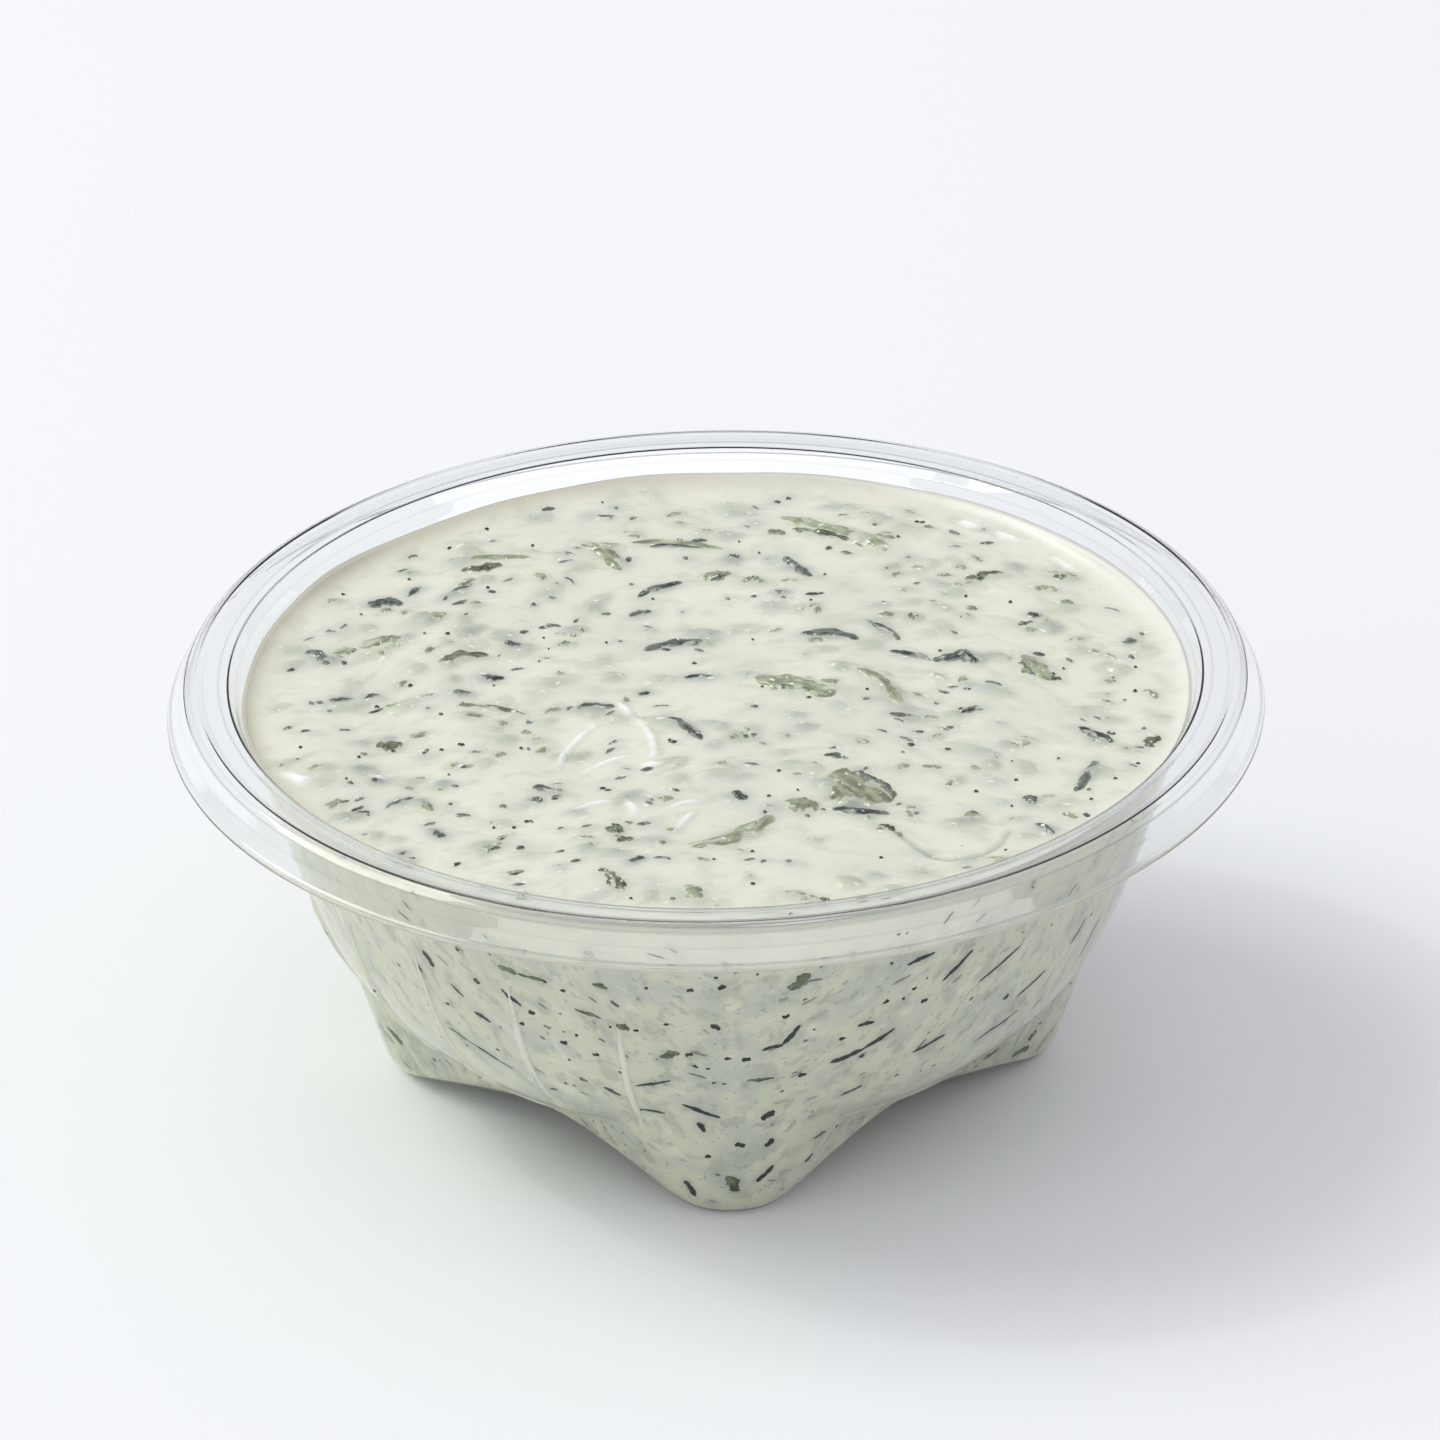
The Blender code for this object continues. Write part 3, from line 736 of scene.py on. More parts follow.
def random_top_pieces(count, seed, lengths, widths, rises):
    """Small pieces strewn evenly over the top: x, y, length, width, heading, rise, bend."""
    draw = np.random.default_rng(seed)
    pieces = []
    while len(pieces) < count:
        x, y = draw.uniform(-STREWN_RADIUS, STREWN_RADIUS, 2)
        if math.hypot(x, y) > STREWN_RADIUS:
            continue
        along, _ = turned(x, y, DRIFT_HEADING)
        heading = DRIFT_HEADING - math.degrees(math.atan(along / DRIFT_BOW)) + draw.normal(0.0, TOP_STRAY)
        length = draw.uniform(*lengths) * draw.uniform(0.6, 1.0)
        width = draw.uniform(*widths)
        pieces.append((x, y, length, width, heading, draw.uniform(*rises), draw.uniform(-0.1, 0.1)))
    return pieces


def random_wall_pieces(count, seed, lengths, widths):
    """Small pieces strewn behind the wall: angle, height, length, width, slope."""
    draw = np.random.default_rng(seed)
    pieces = []
    for _ in range(count):
        angle = draw.uniform(-180.0, 180.0)
        length = draw.uniform(*lengths) * draw.uniform(0.5, 1.0)
        lowest = STREWN_BASE_LIFT + float(arch(math.radians(angle))) + length / 2.0
        ranges = (STREWN_BOWL, STREWN_BOWL, (lowest, STREWN_BASE_TOP))
        height = draw.choice([draw.uniform(*ends) for ends in ranges])
        slope = wall_slope(math.radians(angle), STREWN_WALL_RADIUS) + draw.normal(0.0, WALL_STRAY)
        pieces.append((angle, height, length, draw.uniform(*widths), slope))
    return pieces


def wall_point(angle, z, out):
    """A point on the food side of the wall, moved out by a distance."""
    bowl = body_radius(angle, z, wall_radius(RIM_HEIGHT - z))
    radius = np.where(z >= RIM_HEIGHT - WALL_END_DEPTH, bowl, base_radius(angle, z)) + out
    return np.stack((radius * np.cos(angle), radius * np.sin(angle), z), axis=-1)


def view_axes():
    """Unit vectors towards the camera, to the picture's right and upwards, before the roll."""
    level = math.cos(VIEW_HEIGHT)
    back = Vector((math.cos(VIEW_ANGLE) * level, math.sin(VIEW_ANGLE) * level, math.sin(VIEW_HEIGHT)))
    right = Vector((-math.sin(VIEW_ANGLE), math.cos(VIEW_ANGLE), 0.0))
    return back, right, back.cross(right)


def sight_line(px, py):
    """The camera's place, and the direction in which it sees a pixel of the photograph."""
    back, right, up = view_axes()
    dx, dy = px - RIM_CENTRE_AT[0], py - RIM_CENTRE_AT[1]
    c, s = math.cos(VIEW_ROLL), math.sin(VIEW_ROLL)
    line = right * (c * dx - s * dy) - up * (s * dx + c * dy) - back * (VIEW_LENS / SENSOR * FRAME_PIXELS)
    return Vector((0.0, 0.0, RIM_HEIGHT)) + back * VIEW_DISTANCE, line.normalized()


def seen_on_top(px, py):
    """The point of the dip's surface at a pixel of the photograph."""
    eye, line = sight_line(px, py)
    return eye + line * ((PIECE_LEVEL - eye.z) / line.z)


def seen_on_wall(px, py):
    """Angle, height and radius of the wall's point at a pixel of the photograph."""
    eye, line = sight_line(px, py)
    steps = np.arange(VIEW_DISTANCE - LIP_RADIUS, VIEW_DISTANCE + LIP_RADIUS, SIGHT_STEP)
    x, y, z = (eye[i] + line[i] * steps for i in range(3))
    angle = np.arctan2(y, x)
    wall = wall_point(angle, z, WALL_SIGHT_MARGIN)
    inside = (np.hypot(x, y) < np.hypot(wall[:, 0], wall[:, 1])) & (z > 0.0) & (z < DIP_LEVEL + 1.0)
    first = int(np.argmax(inside))
    return angle[first], z[first], math.hypot(x[first], y[first])


def top_pieces(seen):
    """Pieces on the dip from the pixels of their ends: x, y, length, width, heading, rise, bend."""
    pieces = []
    for x0, y0, x1, y1, width, rise, bend in seen:
        start, end = seen_on_top(x0, y0), seen_on_top(x1, y1)
        middle, along = (start + end) / 2.0, end - start
        heading = math.degrees(math.atan2(along.y, along.x))
        pieces.append((middle.x, middle.y, max(along.length, width), width, heading, rise, bend))
    return pieces


def wall_pieces(seen):
    """Pieces behind the wall from the pixels of their ends: angle, height, length, width, slope."""
    pieces = []
    for x0, y0, x1, y1, width in seen:
        angle0, z0, radius0 = seen_on_wall(x0, y0)
        angle1, z1, radius1 = seen_on_wall(x1, y1)
        around, up = (angle1 - angle0) * (radius0 + radius1) / 2.0, z1 - z0
        slope = math.degrees(math.atan2(up, around))
        middle = (math.degrees(angle0 + angle1) / 2.0, (z0 + z1) / 2.0)
        pieces.append((*middle, max(math.hypot(around, up), width), width, slope))
    return pieces


class Shreds:
    """Collects many closed slivers for one joined mesh."""

    def __init__(self, seed):
        self.draw = np.random.default_rng(seed)
        self.points, self.faces = [], []
        self.values = {name: [] for name in ("tone", "film", "gloss", "along", "across", "edge")}
        self.count = 0

    def sliver(self, place, length, width, rise, sink, stations, sides, ragged):
        """A closed sliver with an uneven outline. place turns along, across and up into points."""
        along = np.linspace(-1.0, 1.0, stations + 2)[1:-1]
        phase = self.draw.uniform(0.0, FULL_TURN, 4)
        edge = 1.0 + ragged * (np.sin(along * 5.0 + phase[0]) + 0.8 * np.sin(along * 11.0 + phase[1])
                               + 0.6 * np.sin(along * 19.0 + phase[3]))
        swell = np.sqrt(1.0 - along ** 2) ** 0.8 * edge
        shift = ragged * 0.5 * width * np.sin(along * 4.0 + phase[2])
        turn = FULL_TURN * np.arange(sides) / sides
        u = np.repeat(along[:, None] * length / 2.0, sides, axis=1)
        v = 0.5 * width * swell[:, None] * np.cos(turn) + shift[:, None]
        up = np.where(np.sin(turn) > 0.0, rise, sink) * np.sin(turn)
        lump = 1.0 + ragged * np.sin(along[:, None] * 9.0 + phase[3] + 2.0 * turn)
        w = up * np.sqrt(1.0 - along[:, None] ** 2) * lump
        ends = np.array(((-length / 2.0, shift[0], 0.0), (length / 2.0, shift[-1], 0.0)))
        flat = np.concatenate((np.stack((u, v, w), axis=-1).reshape(-1, 3), ends))
        points = place(flat[:, 0], flat[:, 1], flat[:, 2])
        start, tips = self.count, self.count + stations * sides
        self.faces += grid_faces(start, stations, sides)
        self.faces += fan(list(range(start, start + sides)), tips)
        self.faces += fan(list(range(tips - sides, tips)), tips + 1, flip=True)
        self.points.append(points)
        self.values["tone"].append(np.full(len(points), self.draw.uniform(0.0, 1.0)))
        self.values["along"].append(flat[:, 0])
        self.values["across"].append(flat[:, 1] + 5.0 * len(self.points))
        rim = np.tile(np.clip(np.cos(turn), 0.0, 1.0) ** 4, stations)
        self.values["edge"].append(np.append(rim, (1.0, 1.0)))
        self.count += len(points)
        return points

    def make(self, name, finish):
        masks = {mask: np.concatenate(values) for mask, values in self.values.items()}
        return make_piece(name, np.concatenate(self.points), self.faces, finish, masks)

    def on_top(self, top, piece, stations, sides, ragged, sink):
        """Sets a piece in the dip's surface. Where it lies under the cream, its film mask is 1."""
        x, y, length, width, heading, rise, bend = piece

        def place(along, across, up):
            right, ahead = turned(along, across + bend * (1.0 - (2.0 * along / length) ** 2), -heading)
            return np.stack((x + right, y + ahead, top.sample(top.base, x + right, y + ahead) + up), axis=-1)

        points = self.sliver(place, length, width, rise, sink, stations, sides, ragged)
        proud = points[:, 2] - top.sample(top.height, points[:, 0], points[:, 1])
        self.values["film"].append(1.0 - smooth_step(-0.03, 0.10, proud))
        self.values["gloss"].append(np.ones(len(points)))

    def on_wall(self, piece, rise, stations, sides, ragged, out, film=0.0):
        """Sets a piece behind the wall, moved out from the food side by a distance."""
        angle, height, length, width, slope = piece
        middle = math.radians(angle)
        radius = float(np.hypot(*wall_point(np.array(middle), np.array(float(height)), out)[:2]))

        def place(along, across, up):
            around, upwards = turned(along, across, -slope)
            z = np.clip(height + upwards, *WALL_PIECE_HEIGHTS)
            return wall_point(middle + around / radius, z, out + up)

        points = self.sliver(place, length, width, rise, 0.3, stations, sides, ragged)
        self.values["film"].append(np.full(len(points), film * self.draw.uniform(0.2, 1.0)))
        self.values["gloss"].append(np.zeros(len(points)))


class Wire:
    """A node's output that arithmetic works on: each expression adds its Math node."""

    def __init__(self, nodes, socket):
        self.nodes = nodes
        self.socket = socket

    def __add__(self, other):
        return self.nodes.math("ADD", self, other)

    def __mul__(self, other):
        return self.nodes.math("MULTIPLY", self, other)

    def __sub__(self, other):
        return self.nodes.math("SUBTRACT", self, other)

    def __rsub__(self, other):
        return self.nodes.math("SUBTRACT", other, self)

    def __truediv__(self, other):
        return self.nodes.math("DIVIDE", self, other)

    def __rtruediv__(self, other):
        return self.nodes.math("DIVIDE", other, self)

    __radd__ = __add__
    __rmul__ = __mul__

    def clamped(self):
        return self.nodes.math("ADD", self, 0.0, clamp=True)


class Nodes:
    """A node tree, and one method that adds any node to it."""

    def __init__(self, tree):
        self.tree = tree

    def math(self, operation, first, second, clamp=False):
        options = {"operation": operation, "use_clamp": clamp}
        return self.node("ShaderNodeMath", options, {0: first, 1: second})

    def node(self, kind, options=None, values=None, output=0):
        """Adds a node, sets its options first and then its sockets, and returns one of its outputs."""
        made = self.tree.nodes.new(kind)
        for option, value in (options or {}).items():
            setattr(made, option, value)
        for name, value in (values or {}).items():
            self.feed(made.inputs[name], value)
        return Wire(self, made.outputs[output])

    def feed(self, socket, value):
        """Links a wire to a socket, or sets the socket to a number or a colour."""
        if isinstance(value, Wire):
            self.tree.links.new(value.socket, socket)
        elif socket.type == "RGBA":
            socket.default_value = (*value, 1.0)
        else:
            socket.default_value = value


class Finish(Nodes):
    """A material with its Principled shader."""

    def __init__(self, name):
        self.material = bpy.data.materials.new(name)
        self.material.use_nodes = True
        super().__init__(self.material.node_tree)
        self.shader = self.tree.nodes["Principled BSDF"]
        self.end = self.tree.nodes["Material Output"]

    def surface(self, **sockets):
        """Sets or links the Principled shader's sockets: Base_Color stands for Base Color."""
        for name, value in sockets.items():
            self.feed(self.shader.inputs[name.replace("_", " ")], value)

    def mask(self, name):
        return self.node("ShaderNodeAttribute", {"attribute_name": name}, output="Fac")

    def place(self):
        return self.node("ShaderNodeTexCoord", output="Object")

    def noise(self, size, detail=3.0, roughness=0.5, vector=None):
        """Noise from 0 to 1 with lumps of a size in millimetres. A vector given for it is in millimetres."""
        values = {"Scale": 1.0 / size if vector else 1.0 / (size * MM), "Detail": detail,
                  "Roughness": roughness, "Vector": vector or self.place()}
        return self.node("ShaderNodeTexNoise", values=values, output="Fac")

    def ramp(self, value, low, high):
        """0 below low and 1 above high, smooth between."""
        return self.node("ShaderNodeMapRange", {"interpolation_type": "SMOOTHSTEP"},
                         {"Value": value, "From Min": low, "From Max": high}, output="Result")

    def mix(self, factor, first, second):
        """One colour laid over another."""
        return self.node("ShaderNodeMix", {"data_type": "RGBA"},
                         {"Factor": factor, 6: first, 7: second}, output=2)

    def bump(self, height, distance, strength):
        """A Normal from a height, with a relief depth in millimetres."""
        values = {"Height": height, "Distance": distance * MM, "Strength": strength}
        return self.node("ShaderNodeBump", values=values, output="Normal")


def tinted(colour, share):
    """A colour made lighter or darker."""
    return tuple(min(value * share, 1.0) for value in colour)


def clear_plastic():
    """Thin clear plastic: glass to the eye, and open to the light that reaches the food. Its folds are painted
    dark, standing in for the dark refraction seen there.
    """
    tub = settings("tub")
    finish = Finish("clear_plastic")
    # The folds are painted towards the edge tint, a painted dark refraction.
    fold = finish.mask("fold")
    finish.surface(Base_Color=finish.mix(fold, tuple(tub.colour), tuple(tub.edge)),
                   Roughness=tub.roughness, IOR=1.46, Transmission_Weight=1.0)
    for_light = finish.math("MAXIMUM", finish.node("ShaderNodeLightPath", output="Is Shadow Ray"),
                            finish.node("ShaderNodeLightPath", output="Is Diffuse Ray"))
    open_way = finish.node("ShaderNodeBsdfTransparent", values={"Color": (0.97, 0.98, 0.98)})
    both = finish.node("ShaderNodeMixShader", values={
        "Fac": for_light, 1: Wire(finish, finish.shader.outputs[0]), 2: open_way})
    finish.feed(finish.end.inputs["Surface"], both)
    return finish.material


def cream_finish(name):
    """Thick yoghurt cream: pale with a little green, wet on top, clouded and streaked by what lies in it. On
    the side it is painted darker as shade; its folds and wet spots get painted highlights, and at the wall it
    has a painted band of light and one of shade.
    """
    cream = settings("cream")
    finish = Finish(name)
    colour = tuple(cream.colour)
    side = finish.mask("side")

    def streaks(size, stretch, seed, low, high, detail=2.0):
        """Lumps of a size in millimetres, drawn out along the drift of the cream."""
        vector = finish.node("ShaderNodeCombineXYZ", values={
            "X": finish.mask("along") / stretch, "Y": finish.mask("across"), "Z": finish.mask("deep") + seed})
        return finish.ramp(finish.noise(size, detail, 0.55, vector), low, high)

    wet = finish.mask("wet")
    layers = (
        # Cream on the side, behind the wall, painted darker than on the top as shade.
        (side * 0.9, (0.70, 0.71, 0.53)),
        (streaks(6.5, 1.4, 3.0, 0.46, 0.66) * (side * 0.40 + 0.20), (0.53, 0.57, 0.505)),
        (streaks(3.0, 1.3, 9.0, 0.52, 0.68) * (side * 0.45 + 0.30), (0.50, 0.53, 0.41)),
        (streaks(2.4, 2.0, 15.0, 0.56, 0.72) * 0.35, tinted(colour, 1.14)),
        (streaks(1.6, 1.9, 21.0, 0.58, 0.70) * (side * 0.50 + wet * 0.20), (0.36, 0.40, 0.31)),
        (streaks(0.5, 2.6, 27.0, 0.66, 0.73, 1.0) * (side * 0.40 + wet * 0.35), (0.16, 0.19, 0.15)),
        (finish.mask("warm") * 0.7, (0.80, 0.78, 0.60)),
        # Clouds over cucumber and herbs, and the loop's crease painted darker as shade.
        (finish.mask("green_cloud_and_crease_shade"), tuple(cream.green)),
        (finish.mask("skin_cloud"), tuple(cream.cloud)),
        # A painted band of shade where the cream meets the wall on the side away from the lamp.
        (finish.mask("painted_edge_shade") * 0.75, (0.56, 0.54, 0.42)),
        # A painted band of light where the cream climbs the wall on the side facing the lamp.
        (finish.mask("painted_edge_light") * 0.7, (0.93, 0.93, 0.87)),
        # Raised folds of cream, painted near white as a highlight.
        (finish.mask("fold"), (0.99, 0.99, 0.96)),
        # Small painted glints on the wet cream near the pieces.
        (streaks(0.75, 1.8, 33.0, 0.68, 0.71, 1.0) * wet, (0.98, 0.98, 0.95)),
    )
    base = colour
    for share, layer in layers:
        base = finish.mix(share, base, layer)
    relief = finish.noise(0.8, 2.0, 0.6) * (wet * 0.8 + 0.35)
    finish.surface(Base_Color=base, Roughness=cream.roughness + side * 0.3, IOR=1.42,
                   Normal=finish.bump(relief, 0.10, 0.8))
    return finish.material


def piece_finish(name, colour, light, size, roughness, gloss, pale_inside=0.05):
    """A wet piece of vegetable: a darker and a lighter tone in streaks, a film of cream where it sinks, and on
    the top small painted glints. Behind the wall only a share of the lighter tone is left, pale_inside."""
    finish = Finish(name)
    shine = finish.mask("gloss")
    strands = finish.node("ShaderNodeCombineXYZ", values={
        "X": finish.mask("along") / 3.0, "Y": finish.mask("across")})
    streak = finish.ramp(finish.noise(size * 0.8, 3.0, 0.6, strands), 0.42, 0.60)
    kept = 1.0 - (1.0 - shine) * (1.0 - pale_inside)
    broken = finish.ramp(finish.noise(size, 2.0, 0.5, strands), 0.58, 0.66)
    painted_glints = finish.ramp(finish.noise(0.6, 1.0), 0.68, 0.71)
    layers = (
        (((streak * 0.8 + finish.mask("tone") * 0.35) * kept).clamped(), light),
        (finish.mask("edge") * 0.75, tinted(colour, 0.35)),
        ((finish.mask("film") * 0.9 + broken * shine * 0.5).clamped(), tuple(settings("cream").colour)),
        (painted_glints * shine, (0.92, 0.93, 0.89)),
    )
    base = colour
    for share, layer in layers:
        base = finish.mix(share, base, layer)
    finish.surface(Base_Color=base, Roughness=roughness, IOR=1.25, Coat_Weight=shine * gloss,
                   Coat_Roughness=0.16, Normal=finish.bump(finish.noise(size * 0.6, 2.0), 0.22, 0.8))
    return finish.material


def rib_places():
    """Each rib's angle round the tub, and the depth at which it begins."""
    return [(math.radians(panel + angle), RIB_TOP_DEPTH + RIB_TOP_DROP * (angle / max(RIB_ANGLES)) ** 2)
            for panel in RIB_PANELS for angle in RIB_ANGLES]


def turn_between(angles, other):
    """The turn from one angle to others, from -180 to 180 degrees."""
    return (angles - other + math.pi) % FULL_TURN - math.pi


def tub_angles():
    """Even columns round the tub, with closer ones across each rib."""
    tub = settings("tub")
    ribs = np.array([angle for angle, _ in rib_places()]) % FULL_TURN
    even = np.arange(tub.columns) * FULL_TURN / tub.columns
    clear = np.abs(turn_between(even[:, None], ribs)).min(axis=1) > RIB_CLEARANCE
    near = np.concatenate([ribs + math.radians(step) for step in RIB_COLUMNS])
    return np.sort(np.concatenate((even[clear], near % FULL_TURN)))


def rib_rise(points, angles):
    """How far the ribs stand out at each point of the wall."""
    tub = settings("tub")
    depth = RIM_HEIGHT - points[..., 2]
    radius = np.hypot(points[..., 0], points[..., 1])
    rise = np.zeros(depth.shape)
    for angle, top in rib_places():
        across = np.clip(1.0 - (turn_between(angles, angle) * radius / tub.rib_width) ** 2, 0.0, 1.0)
        begin = smooth_step(top, top + RIB_FADE, depth)
        end = smooth_step(RIB_END_DEPTH - RIB_FADE, RIB_END_DEPTH, depth)
        rise = np.maximum(rise, across * begin * (1.0 - end) * tub.rib_height)
    return rise


def painted_fold_lines(angles, rows, base_start):
    """How dark the painted lines at the folds of the rim and of the base's edge show at each point of both
    sides of the sheet; they stand in for dark refraction and shade there. Each of the rim's lines shows more
    plainly along some stretches than along others."""
    inner = np.zeros((rows, len(angles)))
    outer = np.zeros_like(inner)
    for i, (_, _, dark) in enumerate(RIM_SECTION[1:]):
        first = 2 + CORNER_STEPS * i
        shown = FOLD_SHOWN + FOLD_VARIES * ring_noise(angles, 1.6, i * 3.7)
        inner[first:first + 2] = dark * np.clip(shown, FOLD_LEAST, 1.0)
    edge = base_start + CORNER_STEPS * EDGE_CORNER
    inner[edge:edge + 3] = 1.0
    outer[edge - 4:edge + 1] = 1.0
    return np.concatenate((inner.ravel(), outer.ravel(), (0.0, 0.0)))


def make_tub():
    """The formed sheet from lip to floor: its food side, its outside and the lip between them."""
    tub = settings("tub")
    angles = tub_angles()
    columns = len(angles)
    wall = wall_rows(angles, WALL_FIRST_DEPTH, TUB_WALL_ROWS)
    upper = rounded(rim_rows(angles) + wall[:1], tub.rim_rounding)
    lower = rounded(wall[-1:] + base_rows(angles, tub.sheet), tub.rounding)
    food_side = spin(upper + wall[1:-1] + lower, angles)
    rows = len(food_side)
    thick = np.interp(np.arange(rows), (len(upper), len(upper) + 6), (tub.rim_sheet, tub.sheet))
    rise = rib_rise(food_side, angles)[..., None]
    outside = food_side + outward(food_side) * (thick[:, None, None] + rise)
    outside[..., 2] = np.maximum(outside[..., 2], 0.0)
    centre = np.array(((0.0, 0.0, tub.sheet + FLOOR_RISE), (0.0, 0.0, FLOOR_RISE)))
    points = np.concatenate((food_side.reshape(-1, 3), outside.reshape(-1, 3), centre))
    other = rows * columns
    faces = grid_faces(0, rows, columns, flip=True) + grid_faces(other, rows, columns)
    faces += [(j, (j + 1) % columns, other + (j + 1) % columns, other + j) for j in range(columns)]
    faces += fan(list(range(other - columns, other)), 2 * other)
    faces += fan(list(range(2 * other - columns, 2 * other)), 2 * other + 1, flip=True)
    masks = {"fold": painted_fold_lines(angles, rows, rows - len(lower))}
    piece = make_piece("tub_sheet", points, faces, clear_plastic(), masks)
    steady_normals(piece.data)
    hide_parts("tub")


def steady_normals(data):
    """Normals that lean towards the larger faces, so that flat parts stay flat beside tight folds."""
    corners = np.empty(len(data.loops), int)
    data.loops.foreach_get("vertex_index", corners)
    counts = np.empty(len(data.polygons), int)
    data.polygons.foreach_get("loop_total", counts)
    areas = np.empty(len(data.polygons))
    data.polygons.foreach_get("area", areas)
    facing = np.empty(len(data.polygons) * 3)
    data.polygons.foreach_get("normal", facing)
    total = np.zeros((len(data.vertices), 3))
    np.add.at(total, corners, np.repeat(facing.reshape(-1, 3) * areas[:, None], counts, axis=0))
    total /= np.maximum(np.linalg.norm(total, axis=1, keepdims=True), 1e-20)
    data.normals_split_custom_set_from_vertices(total.tolist())


SHARED = []


def shared_surface():
    """The dip's top with every piece set in it. It is worked out once and used by every operator."""
    if SHARED:
        return SHARED[0]
    pieces = settings("pieces")
    top = TopSurface(pieces.seed)
    faint_greens = random_top_pieces(90, pieces.seed + 40, (1.5, 5.5), (0.8, 2.0), (0.2, 0.4))
    faint_skins = random_top_pieces(60, pieces.seed + 41, (1.5, 4.5), (0.5, 1.3), (0.1, 0.3))
    sunk = (
        (top_pieces(CUCUMBER_SEEN), "green_cloud_and_crease_shade", 0.55, 0.85),
        (top_pieces(SKIN_SEEN), "skin_cloud", 0.20, 0.90),
        (top_pieces(HERB_SEEN), "green_cloud_and_crease_shade", 0.25, 0.75),
        (cucumber_crumbs(), "green_cloud_and_crease_shade", 0.60, 0.55),
        (faint_greens, "green_cloud_and_crease_shade", 1.1, 0.60),
        (faint_skins, "skin_cloud", 1.1, 0.60),
        (small_flakes(), "skin_cloud", 0.35, 0.35),
    )
    for listed, cloud, bury, strength in sunk:
        for piece in listed:
            top.sink(piece, cloud, bury, strength)
    for piece in top_pieces(FOLDS_SEEN) + list(HIGHLIGHT_DROPS):
        top.fold(piece)
    top.loop([seen_on_top(px, py).xy for px, py in LOOP_SEEN], LOBE)
    top.ripple()
    SHARED.append(top)
    return top


def small_flakes():
    pieces = settings("pieces")
    return random_top_pieces(pieces.flakes, pieces.seed + 7, (0.7, 2.6), (0.35, 0.75), (0.12, 0.28))


def disc(cells):
    """An even grid on a disc of radius 1: its points, faces, and edge points in order from -45 degrees."""
    line = np.linspace(-1.0, 1.0, cells + 1)
    a, b = np.meshgrid(line, line, indexing="ij")
    wide = np.abs(a) >= np.abs(b)
    radius = np.where(wide, a, b)
    safe_a, safe_b = np.where(a == 0.0, 1.0, a), np.where(b == 0.0, 1.0, b)
    turn = np.where(wide, math.pi / 4.0 * b / safe_a, math.pi / 2.0 - math.pi / 4.0 * a / safe_b)
    points = np.stack((radius * np.cos(turn), radius * np.sin(turn)), axis=-1)
    number = np.arange((cells + 1) ** 2).reshape(cells + 1, cells + 1)
    corners = (number[:-1, :-1], number[1:, :-1], number[1:, 1:], number[:-1, 1:])
    faces = np.stack(corners, axis=-1).reshape(-1, 4)
    edge = np.concatenate((number[-1, :-1], number[::-1, -1][:-1], number[0, ::-1][:-1], number[:-1, 0]))
    return points.reshape(-1, 2), faces.tolist(), edge


def edge_climb(angles):
    """How far the cream stands up the wall, uneven round the tub and most at the back right."""
    towards = np.clip(np.cos(angles - CLIMB_HEADING), 0.0, 1.0)
    share = CLIMB_SHARE + CLIMB_GAIN * towards + CLIMB_VARIES * ring_noise(angles, 3.0, 4.0)
    return settings("cream").climb * share


def cream_side(edge, first_depths):
    """Rows of points down the cream's side and in under it, just inside the clear wall."""
    tub = settings("tub")
    columns = len(edge) // 2
    angles = -math.pi / 4.0 + np.arange(columns) * FULL_TURN / columns
    rows = wall_rows(angles, first_depths, CREAM_WALL_ROWS)
    rows = rows[:-1] + rounded(rows[-1:] + base_rows(angles, tub.sheet), tub.rounding, steps=3)
    side = spin(rows, angles)
    return (side + outward(side) * (IN_WALL * tub.sheet))[1:]


def side_faces(edge, start, rows):
    """Faces of the cream's side and underside. The side has a column for every two edge points."""
    columns = len(edge) // 2
    faces = grid_faces(start, rows, columns)
    for j in range(columns):
        k = (j + 1) % columns
        a, b, c = edge[2 * j], edge[2 * j + 1], edge[(2 * j + 2) % len(edge)]
        faces += [(a, start + j, start + k, b), (b, start + k, c)]
    centre = start + rows * columns
    return faces + fan(list(range(centre - columns, centre)), centre, flip=True)


